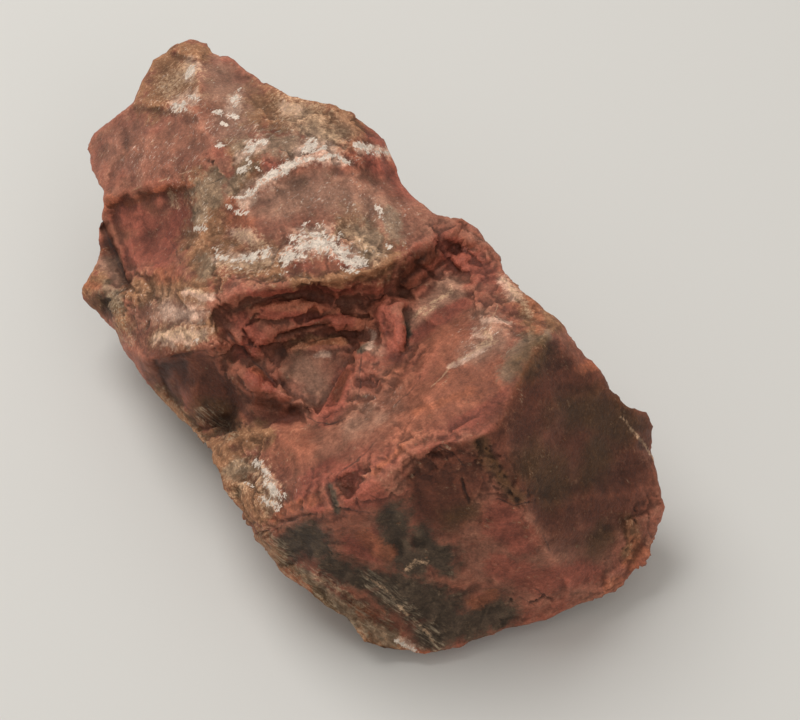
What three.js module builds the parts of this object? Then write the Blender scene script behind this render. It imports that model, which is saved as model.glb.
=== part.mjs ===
// A chunk of petrified wood: red jasper that took the place of a log's wood, broken off across the
// grain at both ends and split along it at the sides. It lies with the log's length along Y.
//
// The chunk is surveyed the way land is. Its ridges, ledges and hollows are lines of landmarks, read off
// from one sighting point. Each landmark is [across, up, height]: millimetres right and up on a ruler held
// at the middle of the chunk, square to the line of sight, and the height above the table that the chunk
// lies on. A near landmark is where the line of sight enters the stone, and a far one is where the same
// line leaves it. The outline, where the stone meets the background, belongs to both sides.
import * as THREE from "three";

// The sighting point: degrees round from straight on, degrees above the table, millimetres away.
const SIGHT = { azimuth: -27, elevation: 48, distance: 520 };
const RULER_HEIGHT = 26;

// Spacing of the surface's points, millimetres on the ruler, and how far they stray from even rows.
const NEAR_SPACING = 1.42;
const FAR_SPACING = 1.85;
const OUTLINE_SPACING = 1.25;
const STRAY = 0.22; // these three are shares of the spacing
const CLEAR_OF_LINES = 0.62;
const CLEAR_ON_LINES = 0.45;
const WAVER = { outline: 0.16, near: 0.3, far: 0.6 }; // how far a line strays between landmarks, millimetres
const RULER = { left: -54, right: 46, bottom: -50, top: 54 };
const SEED = 7;
const FAR_OUT = 1e4; // corners of a triangle that holds every point, for the first step of Delaunay's
const HAIR = 1e-9; // lets a point on a triangle's side count as inside it

// Broken jasper's small relief: heights, and the sizes of what they belong to, in millimetres.
const SCALLOP = { size: 8.5, along: 1.7, near: 1.7, far: 3 };
const SCALLOP_MIDDLE = 0.35; // scallops below this value lie sunk, and those above it stand out
const LUMP = { size: 7, near: 0.3, far: 0.45 };
const GRAIN = { across: 3.2, along: 26, near: 0.15, far: 0.5 };
const CALM_END = { from: 0.45, to: 0.8, share: 0.45 }; // the thick end broke clean, so it is smoother
const OUTLINE_SHARE = 0.4; // the stone is thin at its outline, so its relief is lower there
const OUTLINE_MARGIN = 4; // and comes to its full height this far from it
const FOOT_FADE = 2.4; // the relief dies away over this height, so that the resting spot stays flat

// Flat splits on the hidden side. Each took the last millimetres (depth) off the stone in one direction:
// degrees round from +X towards +Y, and degrees above level.
const SPLITS = [
  { round: 4, rise: 12, depth: 4.5 }, { round: 14, rise: -32, depth: 5 }, { round: 40, rise: -8, depth: 5.5 },
  { round: 62, rise: 24, depth: 4 }, { round: 78, rise: -48, depth: 6 }, { round: 150, rise: -40, depth: 5 },
  { round: 182, rise: -52, depth: 4.5 }, { round: -20, rise: -50, depth: 4.5 },
  { round: 205, rise: -30, depth: 2.2 },
];

const OUTLINE = [
  // the narrow tip, and down the right-hand edge
  [-33.6, 51.5, 33], [-30.6, 51.0, 33], [-29.8, 49.3, 34], [-26.4, 48.5, 35.4], [-22.1, 45.1, 38],
  [-17.6, 42.6, 40.5], [-11.2, 41.4, 41], [-6.9, 39.5, 40], [-2.4, 35.5, 37], [-0.8, 32.0, 36],
  [0.5, 28.6, 37], [2.9, 25.6, 38], [5.8, 23.4, 38], [9.9, 22.6, 37.5], [12.5, 21.1, 36.5],
  [14.1, 18.7, 36], [16.0, 16.6, 36.5], [16.6, 14.1, 38], [19.2, 11.5, 39], [22.6, 9.1, 40],
  [25.9, 6.4, 40], [28.3, 2.4, 38], [32.3, -1.6, 35], [33.9, -4.5, 32],
  // the knob, and round the thick end
  [36.8, -7.2, 28], [39.5, -8.2, 24], [40.8, -10.4, 20], [40.5, -14.2, 17], [41.6, -18.4, 17],
  [42.9, -23.4, 13], [41.6, -26.9, 9], [39.8, -31.7, 7], [37.4, -34.1, 5.5], [34.6, -37.4, 4.5],
  [30.4, -38.7, 3.6], [23.2, -41.9, 3.2], [16.0, -43.7, 2.8], [9.6, -46.1, 2.6], [4.0, -47.2, 2.6],
  [-2.4, -46.7, 2.6], [-6.1, -45.3, 5.6],
  // up the left-hand edge, split along the grain
  [-8.8, -41.9, 7.5], [-14.1, -37.9, 9], [-18.4, -34.7, 10], [-22.7, -29.6, 13], [-23.7, -26.7, 15],
  [-26.4, -23.7, 16], [-28.5, -20.8, 18], [-29.1, -17.9, 19], [-30.4, -14.4, 18], [-33.6, -10.9, 11],
  [-37.6, -7.5, 9.5], [-40.8, -4.0, 10.5], [-44.0, 0.8, 12], [-45.9, 4.5, 14], [-48.3, 6.7, 12],
  [-50.9, 9.6, 13], [-51.2, 11.0, 15], [-49.6, 14.4, 18], [-48.5, 16.6, 18], [-48.3, 21.1, 19],
  [-47.7, 24.3, 23], [-47.4, 26.9, 24], [-49.6, 30.1, 21], [-50.6, 33.6, 21], [-49.3, 36.5, 23],
  [-45.1, 39.4, 27], [-42.6, 41.1, 29], [-41.6, 44.5, 31], [-39.7, 48.2, 31.6], [-36.8, 50.4, 32.6],
];

const NEAR_LINES = {
  ledgeLip: [
    [-29.9, 9.1, 36.5], [-25.6, 10.7, 39.8], [-20.5, 11.8, 41.5], [-14.4, 12.3, 42], [-7.7, 13.3, 42],
    [-2.4, 15.2, 41.6], [1.3, 17.3, 41.2], [4.5, 19.2, 40.4], [6.4, 20.8, 38.8],
  ],
  ledgeFoot: [
    [-28.8, 6.7, 33], [-24.8, 9.1, 35.2], [-20.4, 10.2, 36.4], [-14.1, 10.7, 36.2], [-10.4, 9.4, 34.6],
    [-5.6, 9.2, 34], [0.0, 10.4, 33.6], [4.0, 12.7, 34], [8.2, 16.6, 35.6],
  ],
  plateUnderLedge: [[-22.4, 8.2, 35.8], [-17.6, 9.0, 36.4], [-12.8, 8.4, 35.8]],
  plateFoot: [[-22.0, 5.9, 33.4], [-16.0, 6.4, 33.8], [-9.6, 7.4, 33.4]],
  hacklyCorner: [
    [8.4, 20.4, 38.6], [10.0, 18.2, 36.2], [11.4, 19.0, 38.9], [12.4, 16.4, 36.4], [13.8, 17.0, 38.2],
  ],
  hacklySteps: [[6.0, 16.0, 36.2], [8.6, 14.6, 34.8], [9.8, 15.8, 37.4], [11.0, 13.9, 36.2]],
  secondLedgeLip: [
    [-26.6, 3.4, 31.8], [-21.6, 3.7, 32.4], [-16.6, 5.3, 33.2], [-10.4, 6.0, 33.4], [-4.5, 7.0, 33.4],
  ],
  secondLedgeFoot: [[-19.5, 1.9, 29.4], [-15.6, 3.2, 29.8], [-10.6, 3.8, 30.4], [-5.6, 4.8, 31.6]],
  glassyFlakeEdge: [[-21.1, -1.3, 28.2], [-17.6, -5.0, 27.4], [-13.0, -6.9, 27.8], [-8.2, 0.6, 30.2]],
  middleRib: [[-6.4, 3.2, 32.4], [-6.6, -1.9, 32.2], [-9.9, -8.0, 30.8]],
  standingSlab: [[-3.0, 8.4, 35], [-0.2, 8.8, 35.9], [0.3, 2.7, 35.9], [-3.2, 1.9, 34.4]],
  slabCrack: [[1.0, 7.8, 34.2], [1.1, 2.4, 34.8]],
  hollowCrack: [[-28.0, 3.2, 31.4], [-26.0, 1.9, 29.8], [-23.4, -0.8, 28], [-20.0, -3.8, 26.8]],
  hollowBlock: [[-25.4, -1.8, 30], [-20.8, -4.3, 29.4], [-16.0, -6.4, 29.2], [-12.8, -8.6, 29.6]],
  hollowCorner: [[-25.4, -9.4, 21.8], [-20.6, -9.6, 23.2], [-16.2, -8.9, 25.6]],
  valley: [
    [-29.2, -12.8, 19.5], [-25.6, -11.3, 22.6], [-17.6, -10.4, 27], [-10.4, -10.4, 30.4], [-6.1, -6.7, 32.6],
    [-2.4, -2.4, 33.9], [2.4, 3.2, 35.0], [7.2, 9.6, 36.2], [11.2, 13.3, 37.2], [14.6, 15.6, 37],
  ],
  veinRidge: [[-0.8, -12.8, 40], [8.0, -1.9, 42], [15.2, 5.6, 42.6], [18.4, 10.4, 41.2]],
  endEdge: [
    [-23.0, -26.9, 17.5], [-21.1, -27.4, 21], [-16.0, -25.4, 27.5], [-9.6, -23.5, 33.5], [-2.4, -19.5, 38.5],
    [0.0, -16.3, 40.6], [6.4, -13.3, 43], [12.5, -12.5, 44], [16.8, -8.8, 44.8], [17.9, -5.3, 45.2],
    [20.8, -0.3, 45.5], [23.7, 4.0, 45],
  ],
  chippedNotch: [[-11.8, -18.9, 33.6], [-6.4, -16.3, 36.4], [-8.2, -21.0, 33]],
  leftShoulder: [[-27.5, -18.4, 20.6], [-25.2, -22.2, 19.6]],
  fibreBevel: [[-20.0, -29.9, 18], [-11.2, -35.9, 12], [-3.2, -41.8, 6.8], [1.8, -44.9, 4.4]],
  endSeam: [[14.6, -16.4, 39.8], [18.4, -20.8, 34.8], [22.4, -28.8, 25], [28.0, -37.0, 9.5]],
  endWall: [[-5.0, -30.0, 22.5], [8.0, -29.2, 24.5], [12.0, -38.0, 11.5]],
  knobFoot: [[40.4, -20.6, 16.8], [40.8, -24.6, 13.2]],
  knobHollow: [[35.8, -9.6, 26.5], [38.6, -13.4, 20.5], [39.8, -16.5, 18.2]],
  whiteBand: [
    [-25.6, 25.1, 39.3], [-22.1, 28.2, 40.8], [-16.0, 31.7, 42.6], [-8.8, 33.0, 42.6], [-3.2, 32.5, 39.6],
  ],
  plateauFoot: [[-21.4, 25.4, 39.8], [-14.0, 29.0, 41.2], [-7.0, 29.6, 41], [-2.4, 28.6, 38.9]],
  plateau: [[-22.0, 18.0, 40.2], [-13.0, 20.0, 41.2], [-3.0, 22.0, 40.8]],
  farSlope: [[-19.2, 35.8, 42], [-12.8, 37.6, 42.2]],
  redRimFacet: [[-8.4, 39.2, 41.2], [-6.1, 35.2, 41.2], [-2.6, 33.2, 38.6]],
  tipRidge: [[-32.0, 45.6, 38], [-32.8, 40.0, 38.5], [-29.6, 33.6, 39.5], [-31.6, 28.9, 37.4]],
  farStep: [[-41.0, 41.2, 31.6], [-37.6, 41.0, 35.4], [-34.6, 42.2, 37.2]],
  farStepFoot: [[-40.6, 39.9, 31.2], [-37.4, 39.5, 34.4]],
  farLeftSlope: [[-46.8, 35.2, 26.6], [-41.6, 33.6, 31.6], [-36.5, 34.0, 35.6]],
  redScarLip: [[-46.9, 26.1, 25.2], [-40.0, 27.9, 31.8], [-33.6, 28.5, 36.2], [-32.4, 25.6, 36]],
  redScarFoot: [[-46.6, 24.7, 23.2], [-40.0, 26.5, 29.6], [-34.3, 27.0, 34]],
  redScarRight: [[-33.4, 20.0, 32.6], [-36.5, 15.9, 29.6], [-42.2, 12.9, 22.9]],
  redScarBank: [[-32.0, 20.0, 35.6], [-34.8, 14.4, 31.9]],
  redScarHollow: [[-44.6, 17.8, 20.9], [-39.5, 20.5, 26.2]],
  crack: [[-47.5, 22.2, 18.9], [-46.2, 18.7, 18], [-44.9, 14.7, 18.6], [-43.2, 11.7, 20]],
  knuckle: [[-47.4, 13.6, 19.8], [-48.9, 10.9, 18.4], [-46.9, 9.4, 16.4]],
  lipBlock: [[-46.0, 9.0, 20], [-42.7, 11.2, 22.8], [-36.0, 12.4, 29.8]],
  lipBlockEdge: [
    [-43.9, 1.9, 17.4], [-41.1, -0.2, 21], [-36.8, 0.6, 26.2], [-32.0, 1.8, 30.7], [-28.6, 2.4, 33],
  ],
  lipBlockSide: [[-45.3, 6.2, 19.2], [-29.6, 5.6, 35]],
  darkFlakeTop: [[-40.3, -1.6, 18.4], [-36.5, -0.8, 22.8], [-32.0, 0.4, 27.8], [-28.9, 0.9, 30]],
  darkFlake: [
    [-33.0, -5.0, 20.4], [-37.4, -5.2, 13.4], [-31.4, -11.2, 12.8], [-28.2, -11.0, 14.6], [-26.4, -8.8, 18.6],
  ],
  flakeCrack: [[-29.0, -0.4, 28], [-27.4, -3.8, 24.8]],
};

const FAR_LINES = {
  // half-way down the hidden side, from the tip round to the knob
  backBulge: [
    [-35.5, 41.5, 20], [-29.0, 40.0, 17], [-20.5, 33.5, 19], [-10.0, 26.4, 17], [0.6, 19.2, 19],
    [8.4, 11.4, 17], [18.4, 4.0, 18.5], [28.6, -5.6, 18], [36.0, -14.2, 14.5],
  ],
  backGroove: [[-25.0, 38.5, 27], [-15.0, 32.5, 29], [-4.0, 26.0, 27], [7.0, 15.6, 27], [14.4, 10.0, 28]],
  // where the hidden side turns under
  foot: [
    [-38.0, 31.0, 12], [-30.5, 29.5, 9], [-20.0, 22.6, 7.4], [-9.0, 17.0, 6], [2.5, 10.4, 5],
    [10.4, 1.4, 5.4], [20.0, -6.4, 4], [29.0, -17.0, 5.2], [36.0, -24.6, 5.4], [36.6, -30.4, 4.6],
  ],
  // the undercut below the left-hand edge
  undercut: [
    [-45.0, 27.6, 11], [-43.6, 19.0, 8], [-44.2, 9.4, 6.4], [-37.4, -0.8, 5.6], [-28.6, -9.6, 6],
    [-24.0, -19.6, 5.6], [-18.0, -28.6, 2.4], [-6.0, -40.4, 0.5],
  ],
  heel: [[-8.0, -32.0, 1.6], [2.0, -40.0, 0.5], [14.0, -39.0, 2.2], [24.0, -33.0, 1.6], [31.0, -30.0, 3]],
  knobBack: [[40.2, -15.6, 12.4], [40.6, -20.0, 9.6], [40.2, -24.6, 6]],
  belly: [[-36.0, 20.0, 8], [-30.0, 8.0, 5.2], [-22.0, 14.0, 5.6], [-8.0, 10.0, 4]],
};

// The small flat spot that the chunk lies on, in plan: x and y on the table.
const RESTING_SPOT = [[-11, -15], [2, -19], [13, -9], [14, 11], [8, 27], [-4, 30], [-13, 20], [-15, 2]];
const RESTING_SPOT_MIDDLE = [[0, -5], [-1, 16]];

const JASPER = new THREE.MeshStandardMaterial({ color: 0x8a4b3c, roughness: 0.62, metalness: 0 });

// Repeatable chance, by the mulberry32 recipe.
function chance(seed) {
  let state = seed;
  return () => {
    state = (state + 0x6d2b79f5) | 0;
    let t = Math.imul(state ^ (state >>> 15), 1 | state);
    t = (t + Math.imul(t ^ (t >>> 7), 61 | t)) ^ t;
    return ((t ^ (t >>> 14)) >>> 0) / 4294967296;
  };
}
const random = chance(SEED);

// Chance tied to a cell of space, from 0 to 1, for the noises below.
function cellChance(i, j, k, salt) {
  const mixed = Math.sin(i * 127.1 + j * 311.7 + k * 74.7 + salt * 53.3) * 43758.5453;
  return mixed - Math.floor(mixed);
}

// Smooth noise from -1 to 1.
function smoothNoise(x, y, z, salt) {
  const cell = [x, y, z].map(Math.floor);
  const part = [x - cell[0], y - cell[1], z - cell[2]].map((t) => t * t * (3 - 2 * t));
  let sum = 0;
  for (let corner = 0; corner < 8; corner++) {
    const step = [corner & 1, (corner >> 1) & 1, (corner >> 2) & 1];
    const weight = step.reduce((w, on, axis) => w * (on ? part[axis] : 1 - part[axis]), 1);
    sum += weight * cellChance(cell[0] + step[0], cell[1] + step[1], cell[2] + step[2], salt);
  }
  return 2 * sum - 1;
}

// Scallops, as on struck glass: hollow at each cell's middle and sharp where cells meet, from 0 to about 1.
function scallopNoise(x, y, z, salt) {
  const cell = [x, y, z].map(Math.floor);
  let nearest = 9;
  for (let i = -1; i <= 1; i++)
    for (let j = -1; j <= 1; j++)
      for (let k = -1; k <= 1; k++) {
        const at = [cell[0] + i, cell[1] + j, cell[2] + k];
        const dx = at[0] + cellChance(...at, salt) - x;
        const dy = at[1] + cellChance(...at, salt + 1) - y;
        const dz = at[2] + cellChance(...at, salt + 2) - z;
        nearest = Math.min(nearest, dx * dx + dy * dy + dz * dz);
      }
  return Math.min(nearest, 1);
}

// Points along a line of landmarks, its corners among them. Those between corners waver to either side.
function walk(line, spacing, waver, closed = false) {
  const points = [];
  const last = closed ? line.length : line.length - 1;
  for (let i = 0; i < last; i++) {
    const from = line[i];
    const to = line[(i + 1) % line.length];
    const length = Math.hypot(to[0] - from[0], to[1] - from[1]);
    const steps = Math.max(1, Math.round(length / spacing));
    for (let s = 0; s < steps; s++) {
      const stray = s === 0 ? 0 : waver;
      points.push(from.map((v, axis) => v + ((to[axis] - v) * s) / steps + stray * (2 * random() - 1)));
    }
  }
  if (!closed) points.push(line[line.length - 1]);
  return points;
}

// Delaunay triangles of points on the ruler, by adding them one at a time (Bowyer and Watson's way).
function delaunay(points) {
  const all = [...points, [-FAR_OUT, -FAR_OUT], [FAR_OUT, -FAR_OUT], [0, FAR_OUT]];
  const n = points.length;
  const circle = (a, b, c) => {
    const [ax, ay] = all[a];
    const bx = all[b][0] - ax;
    const by = all[b][1] - ay;
    const cx = all[c][0] - ax;
    const cy = all[c][1] - ay;
    const d = 2 * (bx * cy - by * cx);
    const ux = (cy * (bx * bx + by * by) - by * (cx * cx + cy * cy)) / d;
    const uy = (bx * (cx * cx + cy * cy) - cx * (bx * bx + by * by)) / d;
    return { a, b, c, x: ax + ux, y: ay + uy, r2: ux * ux + uy * uy };
  };
  let triangles = [circle(n, n + 1, n + 2)];
  for (let p = 0; p < n; p++) {
    const [x, y] = all[p];
    const edges = new Map();
    const kept = [];
    for (const t of triangles) {
      if ((x - t.x) ** 2 + (y - t.y) ** 2 >= t.r2) {
        kept.push(t);
        continue;
      }
      for (const [u, v] of [[t.a, t.b], [t.b, t.c], [t.c, t.a]]) {
        if (!edges.delete(v + "," + u)) edges.set(u + "," + v, [u, v]);
      }
    }
    triangles = kept;
    for (const [u, v] of edges.values()) triangles.push(circle(u, v, p));
  }
  return triangles.filter((t) => t.a < n && t.b < n && t.c < n).map((t) => [t.a, t.b, t.c]);
}

function inside(polygon, x, y) {
  let within = false;
  for (let i = 0, j = polygon.length - 1; i < polygon.length; j = i++) {
    const [xi, yi] = polygon[i];
    const [xj, yj] = polygon[j];
    if (yi > y !== yj > y && x < ((xj - xi) * (y - yi)) / (yj - yi) + xi) within = !within;
  }
  return within;
}

function insideOnly(triangles, points, polygon) {
  return triangles.filter((t) => {
    const x = (points[t[0]][0] + points[t[1]][0] + points[t[2]][0]) / 3;
    const y = (points[t[0]][1] + points[t[1]][1] + points[t[2]][1]) / 3;
    return inside(polygon, x, y);
  });
}

// The height at a place between surveyed points, flat within each of their triangles.
function heightReader(points, triangles) {
  return (x, y) => {
    for (const [a, b, c] of triangles) {
      const [ax, ay, ah] = points[a];
      const [bx, by, bh] = points[b];
      const [cx, cy, ch] = points[c];
      const area = (bx - ax) * (cy - ay) - (cx - ax) * (by - ay);
      const wb = ((x - ax) * (cy - ay) - (cx - ax) * (y - ay)) / area;
      const wc = ((bx - ax) * (y - ay) - (x - ax) * (by - ay)) / area;
      if (wb >= -HAIR && wc >= -HAIR && wb + wc <= 1 + HAIR) return ah + wb * (bh - ah) + wc * (ch - ah);
    }
    return null;
  };
}

// One side's points and triangles. Its first points are the outline's, so both sides share their rim.
// The lines' points come next, and rows of points fill the room between them.
function side(outline, linePoints, spacing) {
  const surveyed = [...outline];
  const room = (x, y, least) => surveyed.every((p) => Math.hypot(p[0] - x, p[1] - y) > least);
  for (const point of linePoints) {
    const [x, y] = point;
    if (inside(outline, x, y) && room(x, y, CLEAR_ON_LINES * spacing)) surveyed.push(point);
  }
  const height = heightReader(surveyed, insideOnly(delaunay(surveyed), surveyed, outline));
  const points = [...surveyed];
  const rowStep = (spacing * Math.sqrt(3)) / 2;
  for (let row = 0, y = RULER.bottom; y < RULER.top; row++, y += rowStep)
    for (let x = RULER.left + (row % 2) * (spacing / 2); x < RULER.right; x += spacing) {
      const px = x + (2 * random() - 1) * STRAY * spacing;
      const py = y + (2 * random() - 1) * STRAY * spacing;
      if (!inside(outline, px, py) || !room(px, py, CLEAR_OF_LINES * spacing)) continue;
      const h = height(px, py);
      if (h !== null) points.push([px, py, h]);
    }
  return { points, triangles: insideOnly(delaunay(points), points, outline) };
}

// Two ways between a landmark and its place over the table, both along its own line of sight.
function sightings() {
  const a = THREE.MathUtils.degToRad(SIGHT.azimuth);
  const e = THREE.MathUtils.degToRad(SIGHT.elevation);
  const middle = new THREE.Vector3(0, 0, RULER_HEIGHT);
  const across = new THREE.Vector3(Math.cos(a), Math.sin(a), 0);
  const back = new THREE.Vector3(Math.sin(a) * Math.cos(e), -Math.cos(a) * Math.cos(e), Math.sin(e));
  const up = new THREE.Vector3().crossVectors(back, across);
  const eye = middle.clone().addScaledVector(back, SIGHT.distance);
  const place = ([u, v, height]) => {
    const onRuler = middle.clone().addScaledVector(across, u).addScaledVector(up, v);
    const t = (height - eye.z) / (onRuler.z - eye.z);
    return eye.clone().lerp(onRuler, t);
  };
  const landmark = ([x, y]) => {
    const ray = new THREE.Vector3(x, y, 0).sub(eye);
    const onRuler = ray.multiplyScalar(-SIGHT.distance / ray.dot(back)).add(eye).sub(middle);
    return [onRuler.dot(across), onRuler.dot(up), 0];
  };
  return { place, landmark };
}

// Each corner's outward direction, averaged over the faces round it by their areas.
function outward(places, faces) {
  const normals = places.map(() => new THREE.Vector3());
  const ab = new THREE.Vector3();
  const ac = new THREE.Vector3();
  for (const [a, b, c] of faces) {
    ab.subVectors(places[b], places[a]);
    ac.subVectors(places[c], places[a]);
    ab.cross(ac);
    for (const corner of [a, b, c]) normals[corner].add(ab);
  }
  return normals.map((n) => n.normalize());
}

// How far the stone's small relief stands out at a place, in millimetres. Its kind is near or far.
function relief(place, normal, kind) {
  const { x, y, z } = place;
  const s = SCALLOP.size;
  const scallop = SCALLOP[kind] * (scallopNoise(x / s, y / (s * SCALLOP.along), z / s, 3) - SCALLOP_MIDDLE);
  let lump = 0;
  for (let octave = 0, size = LUMP.size, share = 1; octave < 3; octave++, size /= 2, share /= 2)
    lump += share * smoothNoise(x / size, y / size, z / size, 11 + octave);
  const grain = smoothNoise(x / GRAIN.across, y / GRAIN.along, z / GRAIN.across, 23);
  const fade = THREE.MathUtils.smoothstep(z, 0, FOOT_FADE);
  const calm = 1 - (1 - CALM_END.share) * THREE.MathUtils.smoothstep(-normal.y, CALM_END.from, CALM_END.to);
  return fade * calm * (scallop + LUMP[kind] * lump + GRAIN[kind] * grain);
}

// Takes the hidden side back to the flat splits, by each place's share. It is 0 at the outline.
function split(places, shares) {
  for (const { round, rise, depth } of SPLITS) {
    const a = THREE.MathUtils.degToRad(round);
    const e = THREE.MathUtils.degToRad(rise);
    const direction = new THREE.Vector3(Math.cos(a) * Math.cos(e), Math.sin(a) * Math.cos(e), Math.sin(e));
    const reach = Math.max(...places.map((p) => p.dot(direction)));
    places.forEach((p, i) => {
      const beyond = p.dot(direction) - (reach - depth);
      if (beyond > 0) p.addScaledVector(direction, -beyond * shares[i]);
    });
  }
}

function chunkGeometry() {
  const { place, landmark } = sightings();
  const outline = walk(OUTLINE, OUTLINE_SPACING, WAVER.outline, true);
  const nearPoints = Object.values(NEAR_LINES).flatMap((line) => walk(line, NEAR_SPACING, WAVER.near));
  const near = side(outline, nearPoints, NEAR_SPACING);
  const flatPoints = [
    ...walk(RESTING_SPOT.map(landmark), FAR_SPACING, 0, true),
    ...walk(RESTING_SPOT_MIDDLE.map(landmark), FAR_SPACING, 0),
  ];
  const farPoints = Object.values(FAR_LINES).flatMap((line) => walk(line, FAR_SPACING, WAVER.far));
  const far = side(outline, [...flatPoints, ...farPoints], FAR_SPACING);

  const rim = outline.length;
  const hidden = far.points.slice(rim);
  const hiddenPlaces = hidden.map(place);
  const margin = ([u, v]) => Math.min(...outline.map((p) => Math.hypot(p[0] - u, p[1] - v)));
  const freedom = (p) => THREE.MathUtils.smoothstep(margin(p), 0, OUTLINE_MARGIN);
  split(hiddenPlaces, hidden.map(freedom));
  const places = [...near.points.map(place), ...hiddenPlaces];
  const farIndex = (i) => (i < rim ? i : i + near.points.length - rim);
  const faces = [
    ...near.triangles.map(([a, b, c]) => [a, b, c]),
    ...far.triangles.map(([a, b, c]) => [a, c, b].map(farIndex)),
  ];

  const normals = outward(places, faces);
  const shares = [...near.points, ...hidden].map((p) => THREE.MathUtils.lerp(OUTLINE_SHARE, 1, freedom(p)));
  const moved = places.map((p, i) => {
    const kind = i < near.points.length ? "near" : "far";
    const out = p.clone().addScaledVector(normals[i], shares[i] * relief(p, normals[i], kind));
    return out.setZ(Math.max(out.z, 0));
  });

  const geometry = new THREE.BufferGeometry();
  geometry.setAttribute("position", new THREE.Float32BufferAttribute(moved.flatMap((p) => p.toArray()), 3));
  geometry.setIndex(faces.flat());
  geometry.computeVertexNormals();
  return geometry;
}

const chunk = new THREE.Mesh(chunkGeometry(), JASPER);
chunk.name = "petrified_wood_chunk";

const part = new THREE.Group();
part.add(chunk);
export default part;
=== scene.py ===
"""A chunk of petrified wood: red jasper with white, ochre and olive crusts, lying on a pale table.

The stone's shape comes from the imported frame. Its faces are split finer here, given the small relief of
broken jasper, and painted with markings that are placed in the photograph's frame and edged by noise.
"""
import math
from itertools import chain

import bpy
import numpy as np
from bpy.props import FloatProperty, FloatVectorProperty, IntProperty, PointerProperty
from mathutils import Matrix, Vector
from mathutils.bvhtree import BVHTree


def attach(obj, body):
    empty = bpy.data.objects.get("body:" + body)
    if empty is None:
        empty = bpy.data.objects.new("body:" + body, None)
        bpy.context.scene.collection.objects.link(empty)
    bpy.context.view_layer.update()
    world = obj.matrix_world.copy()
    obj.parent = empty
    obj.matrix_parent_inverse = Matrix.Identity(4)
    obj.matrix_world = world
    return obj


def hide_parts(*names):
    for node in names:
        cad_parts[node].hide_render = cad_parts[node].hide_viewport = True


bl_info = {
    "name": "Petrified wood chunk",
    "version": (1, 0, 0),
    "blender": (4, 5, 0),
    "location": "3D View > Sidebar > Petrified wood",
    "description": "Dresses a broken chunk of petrified wood and sets a studio table round it",
    "category": "Object",
}

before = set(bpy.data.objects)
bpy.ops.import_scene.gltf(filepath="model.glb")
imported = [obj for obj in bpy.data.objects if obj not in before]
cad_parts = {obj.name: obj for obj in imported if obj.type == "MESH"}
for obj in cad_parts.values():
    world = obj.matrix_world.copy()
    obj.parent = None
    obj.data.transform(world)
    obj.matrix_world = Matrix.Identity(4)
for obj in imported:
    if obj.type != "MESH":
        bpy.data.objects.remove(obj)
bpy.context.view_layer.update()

NODE = "petrified_wood_chunk"
PIECE = "jasper_chunk"
MM = 0.001

# The photograph's sighting of the stone. The view looks at a point on the stone's middle.
VIEW_ROUND = math.radians(-27)
VIEW_UP = math.radians(48)
VIEW_DISTANCE = 0.52
VIEW_MIDDLE = Vector((0, 0, 0.026))
PICTURE_WIDTH = 800
PICTURE_HEIGHT = 720
METRES_PER_PIXEL = 0.00016
SENSOR_WIDTH = 36.0

# Each marking is drawn as strokes, listed under the part of the stone that they lie on. A stroke is a
# half-width, then the points that it passes through, in pixels of the photograph's 800 by 720 frame.
WHITE_CRUST = {
    "arc on the ledge": [
        (8, (286, 264), (291, 256), (303, 249), (320, 244), (334, 249), (344, 257), (352, 264)),
    ],
    "arc": [(6, (350, 260), (364, 258))],
    "wing over the arc": [(4.2, (292, 239), (304, 235))],
    "wing": [
        (3.6, (312, 236), (324, 233)), (2.4, (336, 238), (342, 233)), (2.2, (316, 226), (324, 222)),
        (1.6, (303, 226), (308, 222)),
    ],
    "left shelf": [
        (3.6, (219, 255), (228, 257)), (3, (234, 259), (244, 257)), (6, (253, 256), (267, 253)),
        (1.8, (232, 266), (240, 268)), (1.6, (214, 248), (218, 250)),
    ],
    "band": [
        (4.4, (251, 194), (262, 183)), (5, (267, 178), (276, 171)), (5, (282, 164), (292, 163)),
        (3, (288, 170), (284, 174)), (3.6, (300, 163), (312, 160)),
        (2.6, (320, 160), (330, 155), (340, 155)), (2.6, (344, 158), (350, 161)),
    ],
    "patch over the band": [(5, (306, 149), (312, 144)), (3, (317, 150), (324, 146))],
    "patch": [
        (5, (246, 150), (252, 146)), (4, (257, 142), (264, 140)), (2.2, (246, 158), (251, 163)),
        (3, (240, 172), (246, 170)), (1.8, (255, 168), (258, 170)),
    ],
    "ring": [(2.4, (229, 207), (236, 212), (246, 212)), (1.6, (234, 198), (244, 198))],
    "rim patch": [(4.6, (359, 145), (368, 149)), (3, (376, 152), (385, 154))],
    "tip patch": [(5.4, (176, 107), (184, 104)), (3.6, (190, 99), (197, 99)), (3.4, (189, 76), (193, 68))],
    "upper dash": [(3.4, (234, 103), (238, 97)), (1.6, (237, 91), (239, 88))],
    "upper flecks": [
        (2.4, (214, 113), (221, 112)), (2.6, (228, 115), (236, 116)), (1.8, (222, 122), (226, 124)),
    ],
    "fleck": [(2.6, (195, 229), (204, 227)), (2.4, (217, 147), (222, 146))],
    "right spots": [(2.4, (386, 245), (390, 247))],
    "right spot": [(3.6, (378, 208), (382, 214))],
    "crystals": [
        (3.8, (256, 462), (262, 465)), (4.2, (264, 471), (271, 476)), (4, (268, 484), (274, 487)),
        (4.2, (274, 492), (280, 495)), (3.8, (263, 499), (269, 502)), (3.4, (274, 503), (278, 508)),
        (2.4, (247, 483), (249, 485)),
    ],
    "foot dash": [(2.4, (397, 641), (407, 646), (416, 650))],
    "lip fleck": [(2.2, (196, 341), (200, 343))],
}
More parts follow.
